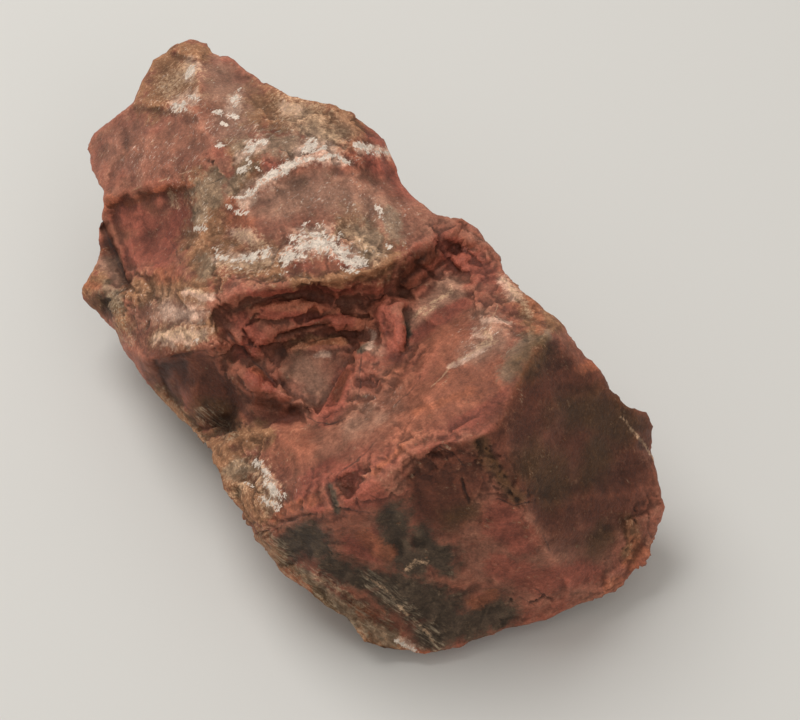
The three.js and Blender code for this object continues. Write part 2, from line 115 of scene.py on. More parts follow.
MILKY_STONE = {
    "band": [(8, (246, 200), (258, 187), (274, 174), (292, 163), (316, 159), (344, 159))],
    "cream top": [(7, (284, 107), (300, 110))],
    "over the band": [(8, (300, 150), (312, 146), (330, 150))],
    "left of the band": [(7, (240, 158), (250, 148), (262, 142))],
    "arc": [(10, (290, 254), (318, 243), (352, 256))],
    "wing": [(7, (300, 235), (330, 230))],
    "shelf": [(8, (222, 257), (268, 255))],
    "under the ring": [(6, (234, 232), (252, 238))],
    "rim": [(6, (362, 147), (386, 154))],
    "tip": [(9, (178, 104), (192, 100)), (7, (188, 76), (194, 66))],
    "upper dash": [(6, (230, 110), (240, 96))],
    "lip": [
        (8, (160, 338), (186, 338), (204, 336)), (4, (188, 292), (212, 298)),
        (8, (166, 310), (182, 316), (196, 314)),
    ],
    "block": [(4, (476, 334), (490, 338)), (4, (484, 320), (506, 322))],
    "block vein": [(3.5, (452, 364), (468, 357), (486, 347))],
    "crown": [(6.5, (506, 284), (516, 296))],
    "glassy flake": [(4, (318, 358), (330, 356))],
    "grains": [(3.5, (374, 334), (370, 348))],
    "crystals": [(5, (260, 464), (274, 482), (272, 502))],
    "foot": [(4, (400, 640), (412, 646))],
}
HAZY_STONE_AND_SHEEN = {
    # Painted highlight: the grey sheen in the middle of the glassy flake, laid over its clear stone.
    "glassy flake": [(15, (300, 362), (314, 380))],
    "plateau": [(22, (280, 200), (330, 195), (380, 215))],
    "upper slope": [(16, (216, 84), (236, 104), (228, 124))],
    "upper right slope": [(15, (300, 122), (338, 136))],
    "block": [(12, (486, 322), (498, 342), (476, 350))],
    "lip": [(14, (160, 308), (190, 314))],
    "valley": [(9, (350, 430), (372, 414))],
    "right of the arc": [(12, (362, 236), (376, 248))],
    "crack side": [(8, (108, 262), (114, 280))],
    "grains": [(6, (372, 346), (380, 352))],
    "triangle": [(9, (412, 318), (430, 306), (450, 290)), (6, (424, 312), (436, 304))],
}
WHITE_VEINS = {
    "block vein": [
        (0.9, (432, 386), (441, 379), (446, 372), (452, 362), (462, 358), (474, 352), (484, 346),
         (497, 341)), (0.6, (486, 342), (490, 326), (497, 306)),
    ],
    "feather": [
        (1.0, (304, 242), (294, 233)), (1.0, (312, 240), (305, 228)), (1.1, (321, 240), (321, 222)),
        (1.0, (330, 240), (340, 227)),
    ],
    "drip": [(1.0, (309, 250), (312, 262)), (1.0, (321, 248), (322, 260))],
    "slash": [(0.9, (131, 191), (139, 187)), (0.9, (161, 181), (169, 178)), (0.9, (181, 173), (190, 171))],
    "rim nick": [(1.0, (196, 345), (210, 340))],
}
DARK_VEINS = {
    "notch": [
        (1.6, (328, 478), (327, 492), (334, 508), (350, 511), (372, 513), (396, 512)),
        (1.0, (332, 484), (344, 470), (358, 460)),
    ],
    "thin": [(0.8, (356, 460), (366, 452), (376, 440))],
    "hollow": [(1.0, (362, 350), (361, 372), (357, 400))],
    "slab": [(1.1, (401, 312), (405, 326), (407, 346))],
    "scar": [
        (1.5, (101, 222), (108, 238), (114, 252), (119, 264), (124, 278)),
        (0.8, (166, 236), (176, 250), (180, 262)),
    ],
    "hollow crack": [(1.0, (228, 334), (240, 346), (252, 360), (264, 372), (274, 382))],
    "valley": [(0.7, (300, 412), (314, 421), (330, 423), (344, 418))],
    "seam slit": [(1.2, (462, 478), (465, 492), (469, 502))],
    "end slit": [(1.0, (543, 536), (551, 553)), (0.8, (436, 446), (450, 452), (464, 466))],
    "chips": [(0.8, (520, 597), (536, 606)), (0.8, (534, 588), (548, 598))],
    "shelf": [(0.7, (290, 274), (302, 278), (318, 276))],
    "plateau": [(0.6, (208, 184), (222, 178))],
    "corner": [(0.8, (242, 344), (262, 348), (276, 342))],
    "grey corner": [(1.2, (284, 524), (302, 517), (318, 514))],
    "seam groove": [(0.8, (498, 500), (514, 504), (530, 502))],
    "block": [(0.6, (396, 404), (412, 390), (420, 376))],
    "lip": [(0.7, (122, 304), (134, 318), (140, 334))],
    "slope": [(0.5, (272, 140), (288, 138))],
}
PALE_GRAIN = {
    "triangle": [
        (2.6, (412, 316), (424, 308)), (2.6, (431, 305), (450, 290)), (2.2, (420, 317), (436, 307)),
    ],
    "block haze": [(3.5, (485, 332), (492, 342), (478, 348))],
    "cream corner": [(3.5, (505, 282), (518, 294), (522, 304))],
    "cream top": [(18, (288, 108), (304, 112), (318, 118))],
    "upper right": [(10, (326, 128), (340, 138))],
    "tip": [(13, (168, 88), (178, 80), (190, 70))],
    "lip block": [(8, (156, 338), (180, 333), (204, 338)), (2.6, (188, 290), (204, 292))],
    "scar corner": [(5, (172, 192), (174, 204))],
    "shelf": [(10, (224, 262), (250, 264), (266, 260))],
    "under the ring": [(8, (238, 234), (252, 238), (262, 244))],
    "right of the arc": [(12, (346, 232), (362, 244), (372, 256))],
    "crystals": [(12, (256, 466), (268, 484), (270, 504))],
    "crystal bed": [(8, (244, 484), (236, 494))],
    "foot streak": [
        (2.2, (368, 577), (387, 590), (407, 613)), (1.8, (412, 618), (436, 642)),
        (3, (316, 576), (340, 591), (364, 607)),
    ],
    "block crown": [(5, (520, 298), (530, 312))],
    "squiggle": [(2.6, (408, 568), (416, 560), (426, 562))],
    "knob ridge": [(1.6, (620, 416), (638, 436), (656, 464))],
}
OCHRE_CRUST = {
    "tip": [(22, (166, 66), (180, 84), (160, 92)), (8, (184, 50), (206, 54))],
    "upper right slope": [(20, (262, 108), (292, 112), (326, 122), (346, 128))],
    "olive slope": [(18, (204, 188), (212, 216), (202, 242), (206, 268))],
    "shelf": [(16, (226, 252), (258, 262), (278, 262)), (7, (296, 279), (340, 279), (384, 270))],
    "right of the arc": [(16, (352, 226), (372, 240), (384, 260))],
    "lip block": [
        (13, (132, 292), (160, 288), (196, 292)), (12, (160, 336), (184, 338), (208, 330)),
        (8, (118, 304), (122, 326)),
    ],
    "knuckle": [(9, (90, 285), (98, 280))],
    "crystal bed": [(22, (222, 452), (236, 478), (248, 506)), (12, (238, 440), (262, 436))],
    "foot strip": [(8, (262, 540), (286, 566), (314, 596), (344, 624), (372, 646))],
    "foot": [(12, (350, 616), (372, 630), (392, 646))],
    "block crown": [(12, (520, 290), (534, 312), (536, 334)), (7, (548, 312), (556, 326))],
    "band bed": [(11, (238, 150), (250, 170), (242, 190))],
    "flake edge": [(7, (160, 392), (182, 416), (206, 442))],
    "right rim": [(7, (628, 520), (636, 540), (628, 556))],
    "glassy edge": [(5, (292, 344), (312, 341), (342, 343))],
}
OLIVE_BROWN_STONE = {
    "end": [
        (20, (572, 416), (600, 412), (620, 424)), (16, (596, 450), (590, 480)),
        (18, (530, 460), (556, 470), (552, 490)), (14, (524, 366), (540, 352)), (12, (606, 534), (590, 548)),
    ],
    "flake foot": [(12, (204, 410), (222, 416), (234, 428))],
    "foot strip": [(7, (280, 560), (304, 584), (332, 608))],
    "knuckle foot": [(8, (96, 300), (110, 308))],
    "seam": [(8, (480, 448), (496, 470), (514, 498))],
    "seam foot": [(12, (452, 520), (470, 512))],
}
OLIVE_STONE = {
    "upper grey": [(12, (262, 146), (284, 144), (300, 150)), (10, (310, 132), (330, 140))],
    "slope": [(12, (202, 190), (216, 196), (214, 182)), (8, (200, 208), (198, 218))],
    "right of the arc": [(10, (362, 232), (374, 240), (372, 252))],
    "right grey": [(9, (390, 216), (396, 234))],
    "shelf end": [(8, (208, 262), (206, 272))],
    "knuckle foot": [(9, (112, 300), (104, 292))],
    "crystal bed": [(9, (232, 474), (244, 468))],
    "crown": [(9, (520, 356), (528, 344), (506, 374))],
    "crown foot": [(6, (540, 342), (548, 336))],
    "foot strip": [(7, (300, 572), (330, 600), (356, 622))],
    "foot": [(8, (370, 628), (392, 640))],
    "band bed": [(8, (240, 146), (246, 168), (232, 190))],
}
DARK_STONE_AND_SHADE = {
    "end": [
        (34, (520, 420), (556, 380), (590, 400)),
        (7, (553, 348), (535, 372), (521, 394), (514, 412), (504, 428), (486, 441)),
        (5, (470, 446), (446, 452), (424, 462)), (40, (590, 430), (620, 460), (600, 500)),
        (26, (520, 470), (545, 490), (560, 520)), (24, (430, 480), (462, 470), (440, 510)),
    ],
    "seam": [(4, (474, 444), (486, 452), (496, 464))],
    "flake": [(22, (168, 368), (196, 384), (222, 398))],
    "hollow facet": [(5, (248, 400), (272, 404), (292, 410))],
    "fin": [(5, (350, 374), (338, 398))],
    "glassy flake": [(6, (282, 352), (288, 366), (286, 380))],
    # Painted shade: the slit in the hollow and the facet under the ledge are darkened where shade falls in
    # them.
    "hollow slit": [(3, (280, 334), (304, 330), (328, 324))],
    "ledge shadow": [(7, (400, 282), (416, 262), (434, 250))],
    "knob": [(10, (640, 420), (650, 434))],
    "crack side": [(9, (106, 244), (116, 268), (124, 280))],
}
GREEN_BLACK_STONE = {
    "left": [(17, (294, 542), (306, 536), (320, 546)), (13, (332, 564), (352, 578), (376, 580))],
    "middle": [
        (19, (396, 518), (398, 544), (414, 562)), (17, (420, 540), (442, 560)),
        (24, (392, 590), (420, 600), (444, 612)),
    ],
    "foot": [(20, (430, 632), (466, 628), (500, 612))],
    "notch": [(4, (330, 486), (332, 498), (338, 512))],
    "hollow grains": [(4.5, (362, 350), (370, 344))],
    "slab shadow": [(3.5, (404, 322), (408, 334))],
}
DEEP_RED = {
    "left scar": [
        (15, (122, 212), (146, 226), (150, 248), (134, 250)), (10, (180, 214), (172, 240), (160, 262)),
    ],
    "rim band": [(8, (362, 122), (384, 142)), (9, (372, 160), (396, 172), (410, 196))],
    "red spot": [(9, (264, 166), (276, 168))],
    "red in the band": [(7, (346, 148), (352, 154))],
    "ledge wall": [(4, (250, 292), (300, 289), (350, 290))],
    "hollow rib": [(5, (262, 314), (300, 318), (350, 322))],
    "hollow corner": [(10, (240, 322), (256, 340), (244, 352))],
    "corner block": [(7, (250, 376), (270, 386))],
    "flake": [(10, (346, 376), (338, 400), (326, 414))],
    "slab": [(10, (386, 314), (396, 336), (394, 352))],
    "block": [(8, (418, 336), (440, 318), (460, 306)), (8, (456, 426), (490, 408), (504, 398))],
    "right rim": [(13, (446, 246), (470, 262), (486, 274))],
    "valley": [(11, (312, 478), (334, 470), (352, 474)), (10, (362, 490), (352, 500), (380, 500))],
    "end foot": [(14, (500, 566), (540, 580), (590, 572)), (18, (500, 520), (520, 540))],
    "end red": [(12, (352, 546), (372, 550), (380, 534))],
    "chip over the end": [(8, (300, 496), (316, 506))],
}
ORANGE_STAIN = {
    "scar tip": [(8, (104, 204), (112, 201))],
    "scar edge": [(3.6, (126, 202), (142, 198), (160, 190), (176, 188), (192, 186))],
    "scar foot": [(8, (160, 276), (172, 274))],
    "under the ring": [(10, (236, 221), (246, 225))],
    "ring": [(6, (233, 203), (243, 204))],
    "band": [(8, (334, 151), (344, 149), (352, 145)), (4, (380, 156), (392, 160))],
    "arc": [(5, (346, 248), (352, 240))],
    "block crown": [(6, (530, 300), (540, 314), (540, 328)), (7, (512, 290), (520, 300))],
    "corner block": [(4, (252, 372), (264, 376))],
    "end red": [(7, (366, 534), (378, 546), (388, 552))],
    "end": [(6, (472, 602), (494, 598))],
    "right rim": [(6, (636, 540), (642, 552), (630, 566)), (5, (618, 580), (606, 588))],
    "foot strip": [(5, (286, 570), (306, 592))],
    "foot": [(5, (362, 614), (376, 616)), (4, (414, 650), (428, 652))],
    "valley": [(5, (276, 516), (292, 508), (318, 500))],
    "end edge": [(3, (370, 476), (386, 462), (404, 448))],
    "block lower": [(4, (416, 412), (444, 402), (474, 388))],
    "right of the end": [(5, (582, 368), (596, 364))],
    "knuckle": [(4, (88, 284), (96, 286))],
    "glassy edge": [(4, (288, 346), (312, 342), (342, 344))],
}
SALMON_STONE = {
    "block": [
        (30, (440, 330), (470, 350), (440, 390), (400, 420)), (22, (490, 330), (500, 370), (470, 400)),
    ],
    "hollow": [(8, (392, 380), (400, 366))],
    "valley": [(19, (290, 450), (330, 440), (370, 420))],
    "left slope": [(14, (140, 150), (190, 140), (220, 90))],
    "nail": [(9, (316, 258), (330, 262))],
    "left scar": [(20, (134, 222), (152, 246))],
    "glassy flake": [(14, (302, 364), (316, 378))],
    "plateau": [(26, (280, 190), (340, 190), (390, 210))],
    "hollow ribs": [(8, (256, 312), (300, 306), (330, 318), (372, 324))],
    "lip": [(20, (150, 310), (200, 312))],
}
MAUVE_STONE = {
    "lip block": [(24, (140, 310), (170, 314), (200, 316))],
    "plateau": [(24, (268, 204), (320, 190), (370, 200)), (20, (400, 220), (424, 216))],
    "left slope": [(24, (118, 150), (150, 150), (196, 130))],
    "upper slope": [(20, (220, 80), (250, 96), (236, 120))],
    "scar haze": [(8, (150, 222), (158, 250))],
    "crack side": [(9, (108, 262), (112, 282))],
    "valley": [(20, (330, 440), (366, 420), (384, 404))],
    "glassy flake": [(17, (304, 364), (318, 380), (304, 394))],
    "block haze": [(14, (486, 320), (500, 340), (470, 356))],
    "block": [(12, (450, 288), (440, 300))],
    "end": [(18, (540, 560), (562, 548), (530, 530))],
    "end foot": [(26, (490, 560), (540, 576), (590, 568))],
    "seam": [(7, (484, 450), (500, 476), (520, 506), (548, 536))],
}
CRACKS = {
    "scar crack": [(2.2, (101, 222), (108, 238), (114, 252), (119, 264), (124, 278), (133, 288))],
    "hollow crack": [(1.8, (228, 334), (240, 346), (252, 360), (264, 372), (274, 382))],
    "slab crack": [(1.8, (401, 312), (405, 326), (407, 344))],
    "ledge slit": [(1.6, (244, 300), (262, 299), (280, 294), (296, 296))],
    "rib slit": [(1.8, (288, 306), (300, 304), (312, 300))],
    "hollow slit": [(1.6, (276, 338), (296, 334), (314, 328), (332, 324))],
    "dark vein": [(1.6, (328, 478), (327, 492), (334, 508), (350, 511))],
    "rim step": [(1.8, (452, 250), (464, 262), (482, 266))],
    "corner step": [(1.6, (284, 522), (300, 516), (316, 514))],
    "glassy flake": [
        (1.6, (284, 346), (296, 340), (312, 342), (322, 338), (340, 334)),
        (1.6, (352, 360), (342, 374), (328, 390), (320, 404)),
    ],
    "seam slit": [(1.6, (462, 480), (465, 494), (468, 501))],
}
# Where clumps of pits lie.
PITTED = {
    "end seam": [(6, (488, 456), (498, 472), (510, 490), (516, 504))],
    "right rim": [(6, (640, 510), (632, 536), (626, 556))],
    "end foot": [(5, (516, 596), (546, 600))],
    "lip": [(9, (122, 304), (140, 322))],
    "shelf": [(8, (214, 276), (240, 284), (300, 282))],
    "slope": [(3, (208, 159), (212, 163))],
}
# Flat flakes of the break, with crisp edges: the height in mm at the first corner, and at the corner
# opposite, then the corners of the outline in order, in pixels of the same frame.
FLAKES = {
    "slab": [(0.35, 0.9, (381, 345), (379, 308), (402, 303), (407, 346))],
    "slab foot": [(0.1, 0.25, (376, 352), (408, 350), (404, 374), (380, 372))],
    "glassy flake": [
        (0.45, 0.1, (288, 352), (318, 345), (346, 350), (350, 366), (320, 404), (292, 394), (277, 372)),
    ],
    "tan edge": [(0.7, 0.5, (284, 352), (300, 341), (322, 336), (346, 338), (353, 349), (328, 352))],
    "gap over the tan edge": [(-0.3, -0.5, (270, 341), (290, 329), (332, 322), (336, 331), (300, 340))],
    "fin": [(0.8, 0.3, (352, 360), (355, 384), (340, 408), (318, 414), (332, 390))],
    "rib": [
        (0.5, 0.8, (252, 318), (272, 304), (300, 299), (320, 303), (304, 314), (276, 320)),
        (0.3, 0.7, (300, 322), (345, 315), (380, 321), (374, 331), (340, 331)),
    ],
    "hollow block": [(0.6, 0.2, (243, 328), (262, 318), (281, 325), (276, 342), (256, 348))],
    "hollow lump": [(0.6, 0.2, (238, 372), (256, 364), (278, 380), (270, 393), (248, 390))],
    "rim": [
        (0.8, 0.2, (438, 234), (456, 226), (478, 238), (488, 254), (466, 250)),
        (0.6, 0.2, (446, 254), (470, 254), (493, 268), (486, 280), (462, 272)),
        (0.5, 0.1, (418, 262), (438, 248), (453, 262), (436, 276)),
        (0.6, 0.2, (400, 284), (424, 268), (436, 280), (418, 300)),
    ],
    "left scar": [(-0.5, 0.0, (106, 206), (160, 191), (190, 196), (190, 226), (168, 262), (128, 272))],
    "dark flake": [(-0.5, 0.1, (150, 360), (206, 349), (230, 390), (236, 412), (198, 418), (166, 396))],
    "lip chip": [
        (0.5, 0.1, (160, 334), (184, 322), (214, 326), (210, 346), (180, 348)),
        (0.4, 0.0, (176, 292), (212, 286), (220, 308), (190, 312)),
    ],
    "valley chip": [(-0.5, 0.0, (330, 480), (352, 470), (368, 480), (348, 500))],
    "edge chip": [
        (0.5, -0.2, (398, 446), (424, 432), (446, 440), (420, 462)),
        (0.5, -0.2, (452, 430), (486, 412), (500, 424), (470, 444)),
    ],
    "rim chip": [
        (0.5, -0.2, (624, 520), (650, 512), (646, 546), (628, 556)),
        (0.5, -0.2, (604, 574), (632, 558), (628, 580), (606, 592)),
    ],
    "tip chip": [(0.5, 0.0, (168, 52), (188, 40), (210, 44), (200, 60))],
    "red facet": [(-0.5, 0.0, (350, 118), (366, 112), (388, 132), (392, 146), (368, 136))],
}
# Where pale specks and slashes are scattered over the stone.
SPECKLED = {
    "upper slopes": [(44, (170, 90), (220, 130), (270, 130))],
    "left slope": [(34, (130, 150), (190, 170), (200, 230))],
    "plateau": [(32, (290, 200), (350, 200), (390, 220))],
    "shelf": [(20, (220, 260), (300, 270))],
    "lip": [(24, (130, 300), (190, 320))],
    "block": [(18, (470, 340), (500, 330))],
    "valley": [(14, (360, 410), (390, 400))],
    "crystals": [(20, (250, 470), (280, 490))],
    "band": [(20, (238, 200), (256, 160), (300, 156), (350, 152))],
    "arc": [(20, (280, 250), (320, 240), (366, 256))],
    "block vein": [(9, (456, 358), (490, 344))],
}
# Where the wood's fibres still show.
FIBRES = {
    "foot": [
        (14, (312, 580), (340, 602), (366, 622), (384, 636)),
        (9, (368, 578), (396, 600), (420, 624), (438, 642)),
    ],
    "strip": [(12, (266, 540), (288, 566), (312, 588))],
    "flake foot": [(7, (202, 412), (218, 424), (232, 436))],
    "flake edge": [(6, (158, 390), (180, 414), (204, 440))],
    "lip block": [(8, (112, 300), (118, 318), (126, 336))],
    "foot corner": [(8, (376, 640), (398, 648), (416, 650))],
}
# Where the fresh break is rough and stepped, and where it is calm.
HACKLY = {
    "hollow": [
        (30, (240, 330), (300, 320), (370, 330)), (16, (240, 376), (270, 390), (340, 404), (370, 380)),
    ],
    "right rim": [(22, (440, 250), (480, 275), (500, 300))],
    "left lip": [(18, (130, 300), (190, 330), (230, 320))],
    "left edge": [(18, (220, 440), (240, 480), (262, 520))],
    "end edge": [(14, (320, 500), (390, 470), (460, 440))],
    "right lower rim": [(14, (650, 500), (650, 550), (600, 590))],
    "seam": [(10, (480, 450), (500, 480), (520, 500))],
    "arc": [(12, (290, 250), (320, 235), (360, 255))],
    "band": [(9, (250, 190), (290, 162), (350, 155))],
}
CALM = {
    "plateau": [(26, (270, 200), (330, 190), (400, 215))],
    "glassy flake": [(14, (296, 356), (312, 374), (306, 392))],
    "dark flake": [(18, (170, 370), (196, 386), (222, 402))],
    "end": [
        (44, (560, 420), (600, 470), (580, 540)), (30, (500, 560), (560, 575)), (26, (380, 530), (440, 520)),
    ],
    "block": [(26, (440, 320), (480, 350), (440, 400))],
    "valley": [(18, (300, 440), (340, 450), (370, 430))],
    "left slope": [(30, (130, 150), (180, 150), (220, 110))],
    "left scar": [(18, (140, 220), (150, 250))],
    "dark facet": [(12, (250, 404), (290, 408))],
    "lip": [(14, (140, 320), (190, 312))],
    "tip": [(20, (158, 92), (182, 62), (216, 72))],
}

# The markings painted as broad fields: the strokes, then the width in mm of a patch on the hidden side,
# how rare such patches are, and the salt of their noise.
BROAD_MARKINGS = {
    "milky_stone": (MILKY_STONE, 8, 0.55, 97),
    "hazy_stone_and_sheen": (HAZY_STONE_AND_SHEEN, 14, 0.3, 99),
    "pale_grain": (PALE_GRAIN, 8, 0.62, 101),
    "ochre_crust": (OCHRE_CRUST, 13, 0.1, 107),
    "olive_stone": (OLIVE_STONE, 11, 0.4, 113),
    "olive_brown_stone": (OLIVE_BROWN_STONE, 12, 0.4, 115),
    "speckled": (SPECKLED, 12, 0.2, 149),
    "dark_stone_and_shade": (DARK_STONE_AND_SHADE, 17, 0.25, 119),
    "green_black_stone": (GREEN_BLACK_STONE, 12, 0.5, 125),
    "deep_red": (DEEP_RED, 14, 0.1, 131),
    "orange_stain": (ORANGE_STAIN, 7, 0.55, 137),
    "mauve_stone": (MAUVE_STONE, 12, 0.3, 143),
    "salmon_stone": (SALMON_STONE, 14, 0.1, 145),
}
# How many pixels from a thin line its field reaches, and how many half-widths the line wanders.
LINE_REACH = 5
LINE_WANDER = 2.6
# How many pixels wide the step at a flake's edge is.
FLAKE_EDGE = 1.2

# Which way the trunk's grain runs, and the fibres that still show at the foot of the thick end.
TRUNK_DIRECTION = Vector((0.05, 1, 0.03))
FIBRE_DIRECTION = Vector((0.59, -0.63, -0.50))
# Which way the small pale slashes of the upper faces run, and those that cross them.
SLASH_DIRECTION = Vector((0.86, 0.15, 0.47))
CROSS_DIRECTION = Vector((0.75, 0.6, -0.1))

# Corners of the frame's solid that fall on the same step, in metres, are one corner.
WELD_STEP = 1e-8
# How the split faces are eased: the rounds, and the share of the way to the neighbours' average.
EASING = (2, 0.5)
# Places below the first height lie on the flat spot. The small relief dies out below the second.
FLAT_SPOT = 0.02 * MM
RELIEF_FOOT = 2.2 * MM
# A place counts as seen when it faces the eye at least so much, as a cosine, and when the line to the eye
# is clear from so far above it. The border of what is seen is softened by so many rounds.
LEAST_FACING = -0.2
SIGHT_CLEARANCE = 0.4 * MM
BORDER_ROUNDS = 10
# Painted highlight on edges and painted shade in hollows, partly edge wear, broad and fine: how many rounds
# of evening make the surface that the edges stand out of, and the height from the bottom of a hollow to the
# top of an edge.
BROAD_EDGES = (14, 0.6 * MM)
FINE_EDGES = (2, 0.12 * MM)

# Chalcedony's refractive index, and how a waxy break shines: the roughness of its shiniest and of its
# dullest patches, and the strength of its highlight.
CHALCEDONY_INDEX = 1.54
WAXY_ROUGHNESS = (0.42, 0.62)
WAXY_HIGHLIGHT = 0.2
BUMP_STRENGTH = 0.9
BUMP_DEPTH = 0.4 * MM
# The sockets of a Mix node set to colours.
SHARE, COLOUR_UNDER, COLOUR_OVER = 0, 6, 7

# Each light stands so many metres to the right of the stone, beyond it and above the table, as the view
# sees it, and is so many metres wide.
KEY_LIGHT = (-0.26, 0.2, 0.66, 0.5)
FILL_LIGHT = (0.35, -0.75, 0.55, 0.7)
SKY_COLOUR = (1, 0.97, 0.93, 1)
BOARD_ROUGHNESS = 0.9


def linear(code):
    """A colour written as #rrggbb in sRGB, as the linear values that a shader takes."""
    parts = [int(code[i : i + 2], 16) / 255 for i in (1, 3, 5)]
    return tuple(p / 12.92 if p <= 0.04045 else ((p + 0.055) / 1.055) ** 2.4 for p in parts)


def colour_property(name, description, code):
    return FloatVectorProperty(
        name=name, description=description, subtype="COLOR", size=3, min=0, max=1, default=linear(code)
    )


def length_property(name, description, millimetres):
    return FloatProperty(
        name=name, description=description, unit="LENGTH", min=0, default=millimetres * MM, precision=5
    )


class JasperRelief(bpy.types.PropertyGroup):
    """Sizes of the break's small relief. Depths are from hollow to ridge."""

    halvings: IntProperty(
        name="Halvings", description="How often each edge of the frame's faces is halved",
        default=2, min=0, max=3,
    )
    chip_size: length_property("Chip size", "Width of one flat chip of the hackly break", 5.5)
    chip_depth: length_property("Chip depth", "How far the chips are tilted out of the face", 0.8)
    small_chip_size: length_property("Small chip size", "Width of one small chip", 2.2)
    small_chip_depth: length_property("Small chip depth", "How far the small chips are tilted", 0.42)
    scallop_size: length_property("Scallop size", "Width of the smallest scallops", 1.2)
    scallop_depth: length_property("Scallop depth", "Depth of the smallest scallops", 0.09)
    lump_size: length_property("Lump size", "Width of the soft lumps of a weathered face", 4.2)
    lump_depth: length_property("Lump depth", "Depth of the soft lumps", 0.18)
    grain_width: length_property("Grain width", "Width of a bundle of fibres along the trunk", 0.95)
    grain_depth: length_property("Grain depth", "Depth of the furrows between bundles", 0.16)
    crack_depth: length_property("Crack depth", "Depth of the drawn cracks", 0.32)
    pit_size: length_property("Pit size", "Size of the clumps of pits in the pitted places", 1.0)
    pit_depth: length_property("Pit depth", "Depth of the pits", 0.4)
    crust_height: length_property("Crust height", "How far the white crust stands proud", 0.16)


class JasperColours(bpy.types.PropertyGroup):
    """Colours of the stone and of what grew or settled on it."""

    salmon: colour_property("Salmon", "Lighter, even jasper of the smooth faces", "#965A43")
    brick: colour_property("Brick", "Ordinary jasper of the broken faces", "#87503D")
    deep_red: colour_property("Deep red", "Fresh red jasper, rich in haematite", "#854637")
    mauve: colour_property("Mauve", "Jasper clouded by clear chalcedony", "#8C5F4C")
    ochre: colour_property("Ochre", "Weathered crust stained by iron", "#8C6446")
    cream: colour_property("Cream", "Grainy pale chalcedony", "#C4A07F")
    milky: colour_property("Milky", "Thin milky chalcedony over the red", "#C6A08A")
    haze: colour_property("Haze", "Clear chalcedony, grey in this light, over the red", "#A3846E")
    white: colour_property("White", "White chalcedony crust", "#E6D5C4")
    olive: colour_property("Olive", "Grey-green jasper of the weathered faces", "#85705A")
    green_black: colour_property("Green-black", "Dark green-grey stone at the thick end", "#3E392D")
    dark_brown: colour_property("Dark brown", "Dark jasper of the thick end", "#542C1D")
    olive_brown: colour_property("Olive-brown", "Dark olive jasper of the thick end", "#46321B")
    orange: colour_property("Orange", "Iron stain", "#9E5B3F")
    vein: colour_property("Vein", "Blue-black mineral in the cracks", "#2A2523")
    fibre: colour_property("Fibre", "Pale fibres of the wood where they still show", "#A8957C")


class StudioTable(bpy.types.PropertyGroup):
    """The table and lights that the stone is shown with."""

    table_width: FloatProperty(
        name="Table width", description="Length of one side of the table top",
        unit="LENGTH", default=6.0, min=0.5,
    )
    table: colour_property("Table", "Plain pale table top", "#D3D1CC")
    key_power: FloatProperty(
        name="Key light", description="Power of the key light", unit="POWER", default=3.2
    )
    fill_power: FloatProperty(
        name="Fill light", description="Power of the fill light", unit="POWER", default=1.3
    )
    sky: FloatProperty(name="Sky", description="Strength of the even light from all round", default=0.5)


def smooth_step(value, low, high):
    share = np.clip((value - low) / (high - low), 0, 1)
    return share * share * (3 - 2 * share)


def cell_chance(cells, salt):
    """Chance from 0 to 1, tied to cells of space."""
    mixed = np.sin(cells @ np.array((127.1, 311.7, 74.7)) + salt * 53.3) * 43758.5453
    return mixed - np.floor(mixed)


def smooth_noise(places, salt):
    """Smooth noise from -1 to 1, with features about one unit across."""
    cell = np.floor(places)
    part = places - cell
    part = part * part * (3 - 2 * part)
    total = np.zeros(len(places))
    for corner in range(8):
        step = np.array((corner & 1, corner >> 1 & 1, corner >> 2 & 1))
        weight = np.prod(np.where(step, part, 1 - part), axis=1)
        total += weight * cell_chance(cell + step, salt)
    return 2 * total - 1


def rough_noise(places, octaves, salt):
    """Smooth noise with finer and fainter copies of itself added, from about -1 to 1."""
    total = np.zeros(len(places))
    for octave in range(octaves):
        total += smooth_noise(places * 2**octave, salt + octave) / 2**octave
    return total / 1.5


def broken_cells(places, salt):
    """Cells of space round scattered middles: how far each place is from its own cell's middle, squared, and
    how high it lies on the cell's flat face, which is tilted its own way."""
    cell = np.floor(places)
    nearest = np.full(len(places), 9.0)
    height = np.zeros(len(places))
    for i in (-1, 0, 1):
        for j in (-1, 0, 1):
            for k in (-1, 0, 1):
                at = cell + np.array((i, j, k))
                away = places - at - np.stack([cell_chance(at, salt + axis) for axis in range(3)], axis=1)
                tilt = np.stack([cell_chance(at, salt + 3 + axis) for axis in range(3)], axis=1) * 2 - 1
                distance = np.sum(away**2, axis=1)
                closer = distance < nearest
                nearest = np.where(closer, distance, nearest)
                height = np.where(closer, np.sum(away * tilt, axis=1), height)
    return np.minimum(nearest, 1), height


def welded(mesh):
    """The mesh's places and triangles, with the corners that share a place joined."""
    corners = np.empty(len(mesh.vertices) * 3)
    mesh.vertices.foreach_get("co", corners)
    mesh.calc_loop_triangles()
    triangles = np.empty(len(mesh.loop_triangles) * 3, np.int32)
    mesh.loop_triangles.foreach_get("vertices", triangles)
    corners = corners.reshape(-1, 3)
    steps = np.round(corners / WELD_STEP).astype(np.int64)
    _, first, joined = np.unique(steps, axis=0, return_index=True, return_inverse=True)
    return corners[first], joined.reshape(-1)[triangles].reshape(-1, 3)


def edges_of(triangles):
    """Each edge once, and which edge the first sides of the triangles are, then the second and third."""
    sides = np.concatenate([triangles[:, (0, 1)], triangles[:, (1, 2)], triangles[:, (2, 0)]])
    sides.sort(axis=1)
    return np.unique(sides, axis=0, return_inverse=True)


